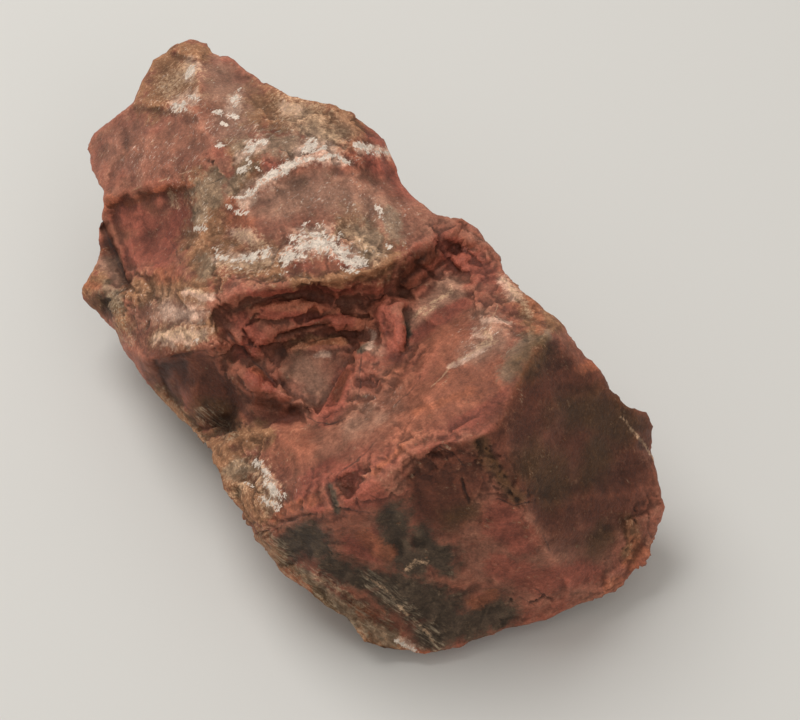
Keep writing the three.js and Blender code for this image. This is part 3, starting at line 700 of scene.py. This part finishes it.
def halved(places, triangles):
    """Each edge halved, so that each triangle becomes four."""
    edges, which = edges_of(triangles)
    middles = places[edges].mean(axis=1)
    count = len(triangles)
    ab, bc, ca = (len(places) + which.reshape(-1)[i * count : (i + 1) * count] for i in range(3))
    a, b, c = triangles.T
    four = [(a, ab, ca), (ab, b, bc), (ca, bc, c), (ab, bc, ca)]
    return np.concatenate([places, middles]), np.concatenate([np.stack(t, axis=1) for t in four])


class Surface:
    """The stone's fine surface: places in metres, triangles, and the edges that join neighbours."""

    def __init__(self, places, triangles):
        self.places = places
        self.triangles = triangles
        self.edges = edges_of(triangles)[0]
        self.neighbours = np.bincount(self.edges.reshape(-1), minlength=len(places))

    def evened(self, values, rounds, share=1.0):
        """Values, or places, drawn towards their neighbours' average, so many times over."""
        flat = values.reshape(len(values), -1)
        a, b = self.edges.T
        for _ in range(rounds):
            columns = []
            for column in flat.T:
                total = np.bincount(a, column[b], len(column)) + np.bincount(b, column[a], len(column))
                columns.append(total / self.neighbours)
            flat = flat + share * (np.stack(columns, axis=1) - flat)
        return flat.reshape(values.shape)

    def outward(self):
        a, b, c = (self.places[self.triangles[:, i]] for i in range(3))
        faces = np.cross(b - a, c - a)
        normals = np.zeros_like(self.places)
        for corner in range(3):
            np.add.at(normals, self.triangles[:, corner], faces)
        return normals / np.linalg.norm(normals, axis=1, keepdims=True)


def sight_axes():
    """Right, up and back, as unit vectors, for the photograph's view."""
    level = math.cos(VIEW_UP)
    back = Vector((math.sin(VIEW_ROUND) * level, -math.cos(VIEW_ROUND) * level, math.sin(VIEW_UP)))
    right = Vector((math.cos(VIEW_ROUND), math.sin(VIEW_ROUND), 0))
    return right, back.cross(right), back


def in_the_picture(places):
    """Where each place falls in the photograph's frame, in pixels across and down."""
    right, up, back = (np.array(axis) for axis in sight_axes())
    from_middle = places - np.array(VIEW_MIDDLE)
    shrink = VIEW_DISTANCE / (VIEW_DISTANCE - from_middle @ back) / METRES_PER_PIXEL
    across = PICTURE_WIDTH / 2 + from_middle @ right * shrink
    down = PICTURE_HEIGHT / 2 - from_middle @ up * shrink
    return np.stack([across, down], axis=1)


def nearness(surface):
    """1 where the photograph sees the stone, 0 where it doesn't, softened where the two meet."""
    back = sight_axes()[2]
    eye = VIEW_MIDDLE + back * VIEW_DISTANCE
    tree = BVHTree.FromPolygons(surface.places.tolist(), surface.triangles.tolist())
    seen = np.zeros(len(surface.places))
    for i, (place, normal) in enumerate(zip(surface.places, surface.outward())):
        start = Vector(place) + Vector(normal) * SIGHT_CLEARANCE
        way = (eye - start).normalized()
        if way.dot(Vector(normal)) > LEAST_FACING and tree.ray_cast(start, way)[0] is None:
            seen[i] = 1
    return smooth_step(surface.evened(seen, BORDER_ROUNDS), 0.15, 0.6)


def painted(strokes, spots):
    """How deep each spot lies in the strokes: 1 on a middle line, 0.5 at the half-width, 0 at twice it."""
    depth = np.zeros(len(spots))
    for half_width, *points in chain.from_iterable(strokes.values()):
        for start, end in zip(points, points[1:]):
            start = np.array(start, float)
            line = np.array(end) - start
            share = np.clip((spots - start) @ line / (line @ line), 0, 1)
            distance = np.linalg.norm(spots - start - share[:, None] * line, axis=1)
            depth = np.maximum(depth, 1 - distance / (2 * half_width))
    return depth


def across_lines(lines, spots):
    """How far each spot is to one side of the nearest line, in half-widths, and how near the line is."""
    nearest = np.full(len(spots), 1e9)
    across = np.zeros(len(spots))
    for half_width, *points in chain.from_iterable(lines.values()):
        for start, end in zip(points, points[1:]):
            line = np.subtract(end, start)
            length = np.linalg.norm(line)
            from_start = spots - start
            along = from_start @ line / length
            side = from_start @ np.array((-line[1], line[0])) / length
            beyond = np.maximum(0, np.maximum(-along, along - length))
            distance = np.hypot(side, beyond)
            closer = distance < nearest
            nearest = np.where(closer, distance, nearest)
            across = np.where(closer, side / half_width, across)
    return across, np.clip(1 - nearest / LINE_REACH, 0, 1)


class Markings:
    """Paints strokes on the side that the photograph shows, and patches of its own on the hidden side."""

    def __init__(self, surface):
        self.places = surface.places / MM
        self.near = nearness(surface)
        self.spots = in_the_picture(surface.places)
        self.loose_spots = self.wavered(3.2, 3, (41, 42))

    def wavered(self, size, reach, salts):
        """The spots moved by up to reach pixels each way, by noise whose features are size mm wide."""
        waver = [smooth_noise(self.places / size, salt) * reach for salt in salts]
        return self.spots + np.stack(waver, axis=1)

    def broad(self, strokes, patch_size, rarity, salt):
        """A field from 0 to 1 with loose edges. On the hidden side its patches are patch_size mm wide."""
        wild = np.clip(0.5 + 1.1 * (rough_noise(self.places / patch_size, 3, salt) - rarity), 0, 1)
        return self.near * painted(strokes, self.loose_spots) + (1 - self.near) * wild

    def fine(self, strokes):
        """A field from 0 to 1 on the near side only, close to its drawn place, wider here, thinner there."""
        depth = painted(strokes, (self.spots + self.loose_spots) / 2)
        return self.near * np.clip(depth * (1 + 0.4 * rough_noise(self.places / 1.3, 2, 45)), 0, 1)

    def flaked(self, flakes):
        """The height in mm of the flakes, which are flat and tilted with crisp edges, and their extent."""
        spots = self.wavered(1.6, 1.2, (43, 44))
        height = np.zeros(len(spots))
        extent = np.zeros(len(spots))
        for first_height, far_height, *corners in chain.from_iterable(flakes.values()):
            corners = np.array(corners, float)
            middle = corners.mean(axis=0)
            inside = np.full(len(spots), 1e9)
            for start, end in zip(corners, np.roll(corners, -1, axis=0)):
                inward = np.array((start[1] - end[1], end[0] - start[0]))
                inward *= np.sign((middle - start) @ inward) / np.linalg.norm(inward)
                inside = np.minimum(inside, (spots - start) @ inward)
            across = corners[len(corners) // 2] - corners[0]
            share = np.clip((spots - corners[0]) @ across / (across @ across), 0, 1)
            flake = first_height + (far_height - first_height) * share
            covered = np.clip(inside / FLAKE_EDGE, 0, 1)
            height += flake * covered
            extent = np.maximum(extent, covered)
        return height * self.near, extent * self.near

    def lines(self, lines):
        """How far each place is to one side of the nearest line, and how near the line is."""
        across, presence = across_lines(lines, self.spots)
        return across, presence * self.near


def shaped(surface, markings, relief):
    """The surface with its small relief, and the fields of the markings that are cut or raised in it."""
    where = surface.places / MM
    hackly = np.clip(markings.broad(HACKLY, 16, 0.05, 51) * 1.6, 0, 1)
    calm = smooth_step(markings.broad(CALM, 22, 0.5, 57), 0.2, 0.6)
    cracks = markings.fine(CRACKS)
    crust = markings.fine(WHITE_CRUST)
    fibres = smooth_step(markings.broad(FIBRES, 15, 0.35, 61), 0.25, 0.7)
    pitted = smooth_step(markings.broad(PITTED, 9, 0.7, 67), 0.2, 0.7)

    bent = where + 0.5 * np.stack([smooth_noise(where / 2.1, salt) for salt in (63, 64, 65)], axis=1)
    stretch = np.array((1, 1.5, 1))
    chips = broken_cells(bent / (stretch * relief.chip_size / MM), 71)[1]
    small_chips = broken_cells(bent / (stretch * relief.small_chip_size / MM), 81)[1]
    scallops = broken_cells(where / (relief.scallop_size / MM), 91)[0] - 0.35
    pits = pitted * smooth_step(rough_noise(bent / (relief.pit_size / MM), 3, 99), 0.15, 0.7)
    flakes, flat = markings.flaked(FLAKES)
    lump = rough_noise(where / (relief.lump_size / MM), 3, 79)
    furrow = smooth_noise(where / (np.array((1, 16, 1)) * relief.grain_width / MM), 83)

    rough = 0.2 + 0.8 * hackly
    height = rough * (relief.chip_depth * chips + relief.small_chip_depth * small_chips)
    height += relief.scallop_depth * (0.4 + 0.6 * hackly) * scallops
    height += relief.lump_depth * 0.5 * lump + relief.grain_depth * (0.3 + 0.7 * fibres) * furrow
    height *= 1 - 0.8 * np.maximum(calm, flat)
    height += flakes * MM
    height -= relief.crack_depth * smooth_step(cracks, 0.15, 0.8) + relief.pit_depth * pits
    height += relief.crust_height * smooth_step(crust, 0.3, 0.75) * (0.6 + scallops)
    height *= smooth_step(surface.places[:, 2], 0, RELIEF_FOOT)

    moved = surface.places + surface.outward() * height[:, None]
    moved[:, 2] = np.maximum(moved[:, 2], 0)
    surface.places = moved
    return {"hackly": hackly, "pits": pits, "white_crust": crust, "fibres": fibres}


def edge_highlight_and_hollow_shade(surface, rounds, height):
    """1 on edges that stand out by half the height, 0 in hollows as deep, and 0.5 on flats: lighter edges as
    painted highlight, partly wear, and darker hollows as painted shade.
    """
    lowered = surface.evened(surface.places, rounds)
    proud = np.sum((surface.places - lowered) * surface.outward(), axis=1)
    return np.clip(0.5 + proud / height, 0, 1)


def add(tree, kind, sockets, **settings):
    """Adds a node with its settings. Each socket is given a value, or linked to a node or a socket."""
    node = tree.nodes.new("ShaderNode" + kind)
    for name, value in settings.items():
        setattr(node, name, value)
    for name, value in sockets.items():
        if isinstance(value, bpy.types.Node):
            value = next(socket for socket in value.outputs if socket.enabled)
        if isinstance(value, bpy.types.NodeSocket):
            tree.links.new(value, node.inputs[name])
        else:
            node.inputs[name].default_value = value
    return node


def mottle(tree, mm, size, detail=4.0, roughness=0.55):
    """Noise whose features are so many millimetres wide, spread so that it fills about 0 to 1."""
    sockets = {"Vector": mm, "Scale": 1 / size, "Detail": detail, "Roughness": roughness}
    noise = add(tree, "TexNoise", sockets)
    return add(tree, "MapRange", {"Value": noise, "From Min": 0.3, "From Max": 0.7}, clamp=False)


def streaks(tree, mm, size, length, direction):
    """Mottle drawn out along one direction, as fibres are."""
    turn = direction.to_track_quat("X", "Z").to_euler()
    turned = add(
        tree, "VectorRotate", {"Vector": mm, "Rotation": turn}, rotation_type="EULER_XYZ", invert=True
    )
    squeezed = add(tree, "VectorMath", {0: turned, 1: (size / length, 1, 1)}, operation="MULTIPLY")
    return mottle(tree, squeezed, size, 3.0, 0.6)


def torn(tree, marking, grain, raggedness, softness, strength=1.0, middle=0.5, reach=0.0):
    """A marking's share of the colour, up to its strength, with its edge torn by a grain. A marking with a
    reach is never carried by the grain to where its field is nothing."""
    field = add(tree, "Attribute", {}, attribute_name=marking).outputs["Fac"]
    if reach:
        present = add(tree, "MapRange", {"Value": field, "From Max": reach})
        grain = add(tree, "Math", {0: grain, 1: present}, operation="MULTIPLY")
    rough = add(tree, "Math", {0: grain, 1: raggedness, 2: field}, operation="MULTIPLY_ADD")
    edge = middle + raggedness / 2
    span = {"Value": rough, "From Min": edge - softness, "From Max": edge + softness, "To Max": strength}
    return add(tree, "MapRange", span, interpolation_type="SMOOTHSTEP")


def drawn(tree, lines, waver, breaks, strength):
    """Thin drawn lines, which wander and thin out with two mottles."""
    side = add(tree, "Attribute", {}, attribute_name=lines + "_side").outputs["Fac"]
    presence = add(tree, "Attribute", {}, attribute_name=lines).outputs["Fac"]
    moved = add(tree, "Math", {0: waver, 1: LINE_WANDER, 2: side}, operation="MULTIPLY_ADD")
    centred = add(tree, "Math", {0: moved, 1: LINE_WANDER / 2}, operation="SUBTRACT")
    apart = add(tree, "Math", {0: centred}, operation="ABSOLUTE")
    span = {"Value": apart, "From Min": 0.5, "From Max": 1.3, "To Min": strength, "To Max": 0}
    thin = add(tree, "MapRange", span)
    whole = add(tree, "Math", {0: breaks, 1: 0.8, 2: presence}, operation="MULTIPLY_ADD")
    there = add(tree, "MapRange", {"Value": whole, "From Min": 0.9, "From Max": 1.4})
    return add(tree, "Math", {0: thin, 1: there}, operation="MULTIPLY")


class Grains:
    """The mottles that the jasper's colour, shine and bumps share. Sizes are in millimetres."""

    def __init__(self, tree):
        place = add(tree, "TexCoord", {}).outputs["Object"]
        self.mm = add(tree, "VectorMath", {0: place, "Scale": 1 / MM}, operation="SCALE")
        self.cloud = mottle(tree, self.mm, 11, 5.0, 0.6)
        self.patch = mottle(tree, self.mm, 4.2, 6.0, 0.62)
        self.tear = mottle(tree, self.mm, 2.4, 7.0, 0.76)
        self.speck = mottle(tree, self.mm, 1.2, 5.0, 0.65)
        self.crystal = mottle(tree, self.mm, 0.7, 4.0, 0.8)
        self.grit = mottle(tree, self.mm, 0.36, 3.0, 0.6)
        self.along_trunk = streaks(tree, self.mm, 0.6, 9, TRUNK_DIRECTION)
        self.along_fibres = streaks(tree, self.mm, 0.32, 3, FIBRE_DIRECTION)
        self.waver = mottle(tree, self.mm, 2.0, 1.0)
        self.slashes = streaks(tree, self.mm, 0.42, 1.5, SLASH_DIRECTION)
        self.cross_slashes = streaks(tree, self.mm, 0.36, 1.3, CROSS_DIRECTION)


def jasper_colour(tree, grains, colours):
    """Clouded reds, then stains, crusts and fibres over them, painted shade in hollows and painted highlight
    on edges, then the whitest crust, veins and pits, and the light and dark of the grains."""
    either_way = add(tree, "Math", {0: grains.slashes, 1: grains.cross_slashes}, operation="MAXIMUM")
    lace = add(tree, "Math", {0: either_way, 1: 1.4, 2: grains.tear}, operation="MULTIPLY_ADD")

    under = []
    for colour, grain, low, high, strength in (
        (colours.deep_red, grains.cloud, 0.3, 0.8, 0.55),
        (colours.mauve, grains.patch, 0.35, 0.9, 0.6),
        (colours.dark_brown, grains.tear, 0.8, 1.1, 0.3),
    ):
        span = {"Value": grain, "From Min": low, "From Max": high, "To Max": strength}
        under.append((colour, add(tree, "MapRange", span, interpolation_type="SMOOTHSTEP")))
    # The raggedness, softness and strength of each marking's edge, and for some its middle and reach.
    for colour, marking, grain, *edge in (
        (colours.salmon, "salmon_stone", grains.patch, 0.6, 0.35, 0.85),
        (colours.mauve, "mauve_stone", grains.tear, 0.7, 0.35, 0.6),
        (colours.deep_red, "deep_red", grains.tear, 0.6, 0.22, 0.85),
        (colours.ochre, "ochre_crust", grains.tear, 0.9, 0.3, 0.85),
        (colours.olive, "olive_stone", grains.tear, 0.8, 0.25, 0.75),
        (colours.dark_brown, "dark_stone_and_shade", grains.tear, 0.45, 0.28, 0.88),
        (colours.olive_brown, "olive_brown_stone", grains.cloud, 0.6, 0.4, 0.7),
        (colours.green_black, "green_black_stone", grains.tear, 0.6, 0.28, 0.88),
        (colours.orange, "orange_stain", grains.tear, 1.0, 0.28, 0.6),
        (colours.haze, "hazy_stone_and_sheen", grains.patch, 0.7, 0.4, 0.36, 0.5, 0.15),
        (colours.milky, "milky_stone", grains.tear, 1.0, 0.3, 0.82, 0.58, 0.15),
        (colours.cream, "pale_grain", grains.crystal, 1.1, 0.35, 0.7, 0.75, 0.15),
    ):
        under.append((colour, torn(tree, marking, grain, *edge)))
    # A thin pale film on the weathered faces, small white slashes, and fibres, each where a grain is high.
    for colour, marking, grain, edge, high_grain, low, high, strength in (
        (colours.cream, "ochre_crust", grains.patch, (0.8, 0.4, 1.0, 0.3), grains.crystal, 0.55, 1.0, 0.32),
        (colours.white, "speckled", grains.tear, (1.4, 0.25, 1.0, 0.8, 0.2), either_way, 0.74, 1.02, 0.5),
        (colours.fibre, "fibres", grains.tear, (1.6, 0.3), grains.along_fibres, 0.35, 1.0, 0.58),
    ):
        span = {"Value": high_grain, "From Min": low, "From Max": high, "To Max": strength}
        proud = add(tree, "MapRange", span, interpolation_type="SMOOTHSTEP")
        marked = torn(tree, marking, grain, *edge)
        under.append((colour, add(tree, "Math", {0: marked, 1: proud}, operation="MULTIPLY")))

    over = (
        (colours.white, torn(tree, "white_crust", lace, 0.9, 0.1, 0.95, 1.42, 0.3)),
        (colours.cream, drawn(tree, "white_veins", grains.waver, grains.tear, 0.55)),
        (colours.vein, drawn(tree, "dark_veins", grains.waver, grains.tear, 0.6)),
        (colours.vein, torn(tree, "pits", grains.speck, 0.4, 0.3, 0.4)),
    )
    broad_edge_highlight_and_shade = add(tree, "Attribute", {}, attribute_name="broad_edge_highlight_and_shade").outputs["Fac"]
    fine_edge_highlight_and_shade = add(tree, "Attribute", {}, attribute_name="fine_edge_highlight_and_shade").outputs["Fac"]
    # Painted shade in the hollows and painted highlight on the edges from the edge fields, then the grain's
    # own light and dark.
    painted_relief_shade_and_tone = (
        (broad_edge_highlight_and_shade, 0.75, 1.25),
        (fine_edge_highlight_and_shade, 0.7, 1.3),
        (grains.cloud, 0.9, 1.1),
        (grains.along_trunk, 0.93, 1.07),
    )
    by_grain = (
        (grains.speck, 0.85, 1.15),
        (grains.crystal, 0.82, 1.18),
        (grains.grit, 0.84, 1.16),
    )
    base = (*colours.brick, 1)
    for layers, shades in ((under, painted_relief_shade_and_tone), (over, by_grain)):
        for colour, share in layers:
            sockets = {SHARE: share, COLOUR_UNDER: base, COLOUR_OVER: (*colour, 1)}
            base = add(tree, "Mix", sockets, data_type="RGBA")
        for value, darkest, lightest in shades:
            span = {"Value": value, "To Min": darkest, "To Max": lightest}
            factor = add(tree, "MapRange", span, interpolation_type="SMOOTHSTEP")
            base = add(tree, "VectorMath", {0: base, "Scale": factor}, operation="SCALE")
    return base


def jasper(colours):
    """Jasper, a chalcedony coloured by iron: it fills the wood's cells, and its fresh breaks are waxy.

    The eye sees clouded reds under a soft shine, dull ochre and white crusts that grew in the cracks, dark
    green-grey patches where the iron was reduced, and a few pale fibres of the wood.
    """
    material = bpy.data.materials.new("waxy_broken_jasper")
    material.use_nodes = True
    tree = material.node_tree
    tree.nodes.clear()
    grains = Grains(tree)
    base = jasper_colour(tree, grains, colours)

    # Crusts are dull. The waxy break between them shines softly, more in some patches than in others.
    crust = torn(tree, "white_crust", grains.tear, 1.2, 0.4, 0.3, 0.4)
    dull = torn(tree, "ochre_crust", grains.tear, 0.6, 0.4, 0.2, 0.35)
    shiniest, dullest = WAXY_ROUGHNESS
    shine = add(tree, "MapRange", {"Value": grains.patch, "To Min": shiniest, "To Max": dullest})
    roughness = add(tree, "Math", {0: shine, 1: crust}, operation="ADD")
    roughness = add(tree, "Math", {0: roughness, 1: dull}, operation="ADD", use_clamp=True)

    # Bumps too fine for the mesh: small sharp scallops on the hackly break, and grain, most in the crusts.
    bent = add(tree, "TexNoise", {"Vector": grains.mm, "Scale": 0.9, "Detail": 2.0}).outputs["Color"]
    bent = add(tree, "VectorMath", {0: bent, 1: (0.9, 0.9, 0.9), 2: grains.mm}, operation="MULTIPLY_ADD")
    chips = add(tree, "TexVoronoi", {"Vector": bent, "Scale": 0.8, "Detail": 1.0, "Roughness": 0.5})
    hackly = add(tree, "Attribute", {}, attribute_name="hackly").outputs["Fac"]
    share = add(tree, "Math", {0: hackly, 1: 0.5}, operation="MULTIPLY")
    height = add(tree, "Math", {0: chips, 1: share}, operation="MULTIPLY")
    crumbs = torn(tree, "ochre_crust", grains.tear, 0.6, 0.4, 0.3, 0.4)
    crumbs = add(tree, "Math", {0: crumbs, 1: crust}, operation="ADD")
    crumbs = add(tree, "Math", {0: crumbs, 1: grains.crystal}, operation="MULTIPLY")
    height = add(tree, "Math", {0: height, 1: crumbs}, operation="ADD")
    fibres = add(tree, "Attribute", {}, attribute_name="fibres").outputs["Fac"]
    ridges = add(tree, "Math", {0: grains.along_fibres, 1: fibres}, operation="MULTIPLY")
    for grain, share in (
        (grains.grit, 0.12),
        (grains.crystal, 0.25),
        (grains.speck, 0.25),
        (grains.along_trunk, 0.1),
        (ridges, 0.4),
    ):
        height = add(tree, "Math", {0: grain, 1: share, 2: height}, operation="MULTIPLY_ADD")
    bump = add(tree, "Bump", {"Strength": BUMP_STRENGTH, "Distance": BUMP_DEPTH, "Height": height})

    shader = add(tree, "BsdfPrincipled", {
        "Base Color": base,
        "Roughness": roughness,
        "Normal": bump,
        "IOR": CHALCEDONY_INDEX,
        "Specular IOR Level": WAXY_HIGHLIGHT,
    })
    add(tree, "OutputMaterial", {"Surface": shader})
    return material


def table_finish(colour):
    """Matt painted board: an even pale colour with no shine."""
    material = bpy.data.materials.new("matt_painted_board")
    material.use_nodes = True
    shader = material.node_tree.nodes["Principled BSDF"]
    shader.inputs["Base Color"].default_value = (*colour, 1)
    shader.inputs["Roughness"].default_value = BOARD_ROUGHNESS
    return material


def chunk_mesh(settings):
    """The frame's solid, split finer, eased and given its relief, with the markings' fields on it."""
    places, triangles = welded(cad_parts[NODE].data)
    for _ in range(settings.halvings):
        places, triangles = halved(places, triangles)
    surface = Surface(places, triangles)
    flat_spot = places[:, 2] < FLAT_SPOT
    eased = surface.evened(places, *EASING)
    eased[flat_spot] = places[flat_spot]
    surface.places = eased

    markings = Markings(surface)
    fields = {name: markings.broad(*marking) for name, marking in BROAD_MARKINGS.items()}
    fields["white_veins_side"], fields["white_veins"] = markings.lines(WHITE_VEINS)
    fields["dark_veins_side"], fields["dark_veins"] = markings.lines(DARK_VEINS)
    fields.update(shaped(surface, markings, settings))
    # Fields for the painted highlight on edges and the painted shade in hollows.
    fields["broad_edge_highlight_and_shade"] = edge_highlight_and_hollow_shade(surface, *BROAD_EDGES)
    fields["fine_edge_highlight_and_shade"] = edge_highlight_and_hollow_shade(surface, *FINE_EDGES)

    mesh = bpy.data.meshes.new(PIECE)
    mesh.from_pydata(surface.places.tolist(), [], surface.triangles.tolist())
    mesh.shade_smooth()
    for name, values in fields.items():
        mesh.attributes.new(name, "FLOAT", "POINT").data.foreach_set("value", values.astype(np.float32))
    return mesh


class PETRIFIED_WOOD_OT_chunk(bpy.types.Operator):
    """Makes the stone: fine surface, markings and jasper, in place of the frame's plain solid"""

    bl_idname = "petrified_wood.chunk"
    bl_label = "Make the chunk"

    def execute(self, context):
        mesh = chunk_mesh(context.scene.jasper_relief)
        mesh.materials.append(jasper(context.scene.jasper_colours))
        piece = bpy.data.objects.new(PIECE, mesh)
        context.scene.collection.objects.link(piece)
        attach(piece, "root")
        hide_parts(NODE)
        return {"FINISHED"}


def aimed(name, data, place, target):
    """An object that looks at the target, as lights and cameras do."""
    thing = bpy.data.objects.new(name, data)
    bpy.context.scene.collection.objects.link(thing)
    thing.location = place
    thing.rotation_mode = "QUATERNION"
    thing.rotation_quaternion = (target - place).to_track_quat("-Z", "Y")
    return thing


def soft_light(name, power, size, place):
    light = bpy.data.lights.new(name, "AREA")
    light.shape = "DISK"
    light.size = size
    light.energy = power
    return aimed(name, light, place, VIEW_MIDDLE)


class PETRIFIED_WOOD_OT_studio(bpy.types.Operator):
    """Sets the table, the soft lights and the camera at the photograph's view"""

    bl_idname = "petrified_wood.studio"
    bl_label = "Set the studio table"

    def execute(self, context):
        scene = context.scene
        studio = scene.studio_table
        half = studio.table_width / 2
        mesh = bpy.data.meshes.new("table_top")
        corners = [(-half, -half, 0), (half, -half, 0), (half, half, 0), (-half, half, 0)]
        mesh.from_pydata(corners, [], [(0, 1, 2, 3)])
        mesh.materials.append(table_finish(studio.table))
        table = bpy.data.objects.new("table_top", mesh)
        scene.collection.objects.link(table)

        right, _, back = sight_axes()
        ahead = Vector((-back.x, -back.y, 0)).normalized()
        upward = Vector((0, 0, 1))
        for name, power, (across, beyond, above, width) in (
            ("key_light", studio.key_power, KEY_LIGHT),
            ("fill_light", studio.fill_power, FILL_LIGHT),
        ):
            soft_light(name, power, width, right * across + ahead * beyond + upward * above)

        world = bpy.data.worlds.new("even_sky")
        world.use_nodes = True
        sky = world.node_tree.nodes["Background"]
        sky.inputs["Color"].default_value = SKY_COLOUR
        sky.inputs["Strength"].default_value = studio.sky
        scene.world = world
        scene.view_settings.view_transform = "Standard"

        camera = bpy.data.cameras.new("camera")
        camera.sensor_width = SENSOR_WIDTH
        camera.lens = SENSOR_WIDTH * VIEW_DISTANCE / (PICTURE_WIDTH * METRES_PER_PIXEL)
        scene.camera = aimed("camera", camera, VIEW_MIDDLE + back * VIEW_DISTANCE, VIEW_MIDDLE)
        return {"FINISHED"}


class PETRIFIED_WOOD_PT_panel(bpy.types.Panel):
    """Lists the stone's operators and what they can be given"""

    bl_label = "Petrified wood"
    bl_idname = "PETRIFIED_WOOD_PT_panel"
    bl_space_type = "VIEW_3D"
    bl_region_type = "UI"
    bl_category = "Petrified wood"

    def draw(self, context):
        for operator, group in (
            (PETRIFIED_WOOD_OT_chunk, context.scene.jasper_relief),
            (None, context.scene.jasper_colours),
            (PETRIFIED_WOOD_OT_studio, context.scene.studio_table),
        ):
            box = self.layout.box()
            if operator:
                box.operator(operator.bl_idname)
            for name in group.__annotations__:
                box.prop(group, name)


CLASSES = (
    JasperRelief,
    JasperColours,
    StudioTable,
    PETRIFIED_WOOD_OT_chunk,
    PETRIFIED_WOOD_OT_studio,
    PETRIFIED_WOOD_PT_panel,
)


def register():
    for made in CLASSES:
        bpy.utils.register_class(made)
    bpy.types.Scene.jasper_relief = PointerProperty(type=JasperRelief)
    bpy.types.Scene.jasper_colours = PointerProperty(type=JasperColours)
    bpy.types.Scene.studio_table = PointerProperty(type=StudioTable)


def unregister():
    for name in ("jasper_relief", "jasper_colours", "studio_table"):
        delattr(bpy.types.Scene, name)
    for made in reversed(CLASSES):
        bpy.utils.unregister_class(made)


def main():
    register()
    bpy.ops.petrified_wood.studio()
    bpy.ops.petrified_wood.chunk()


if __name__ == "__main__":
    main()
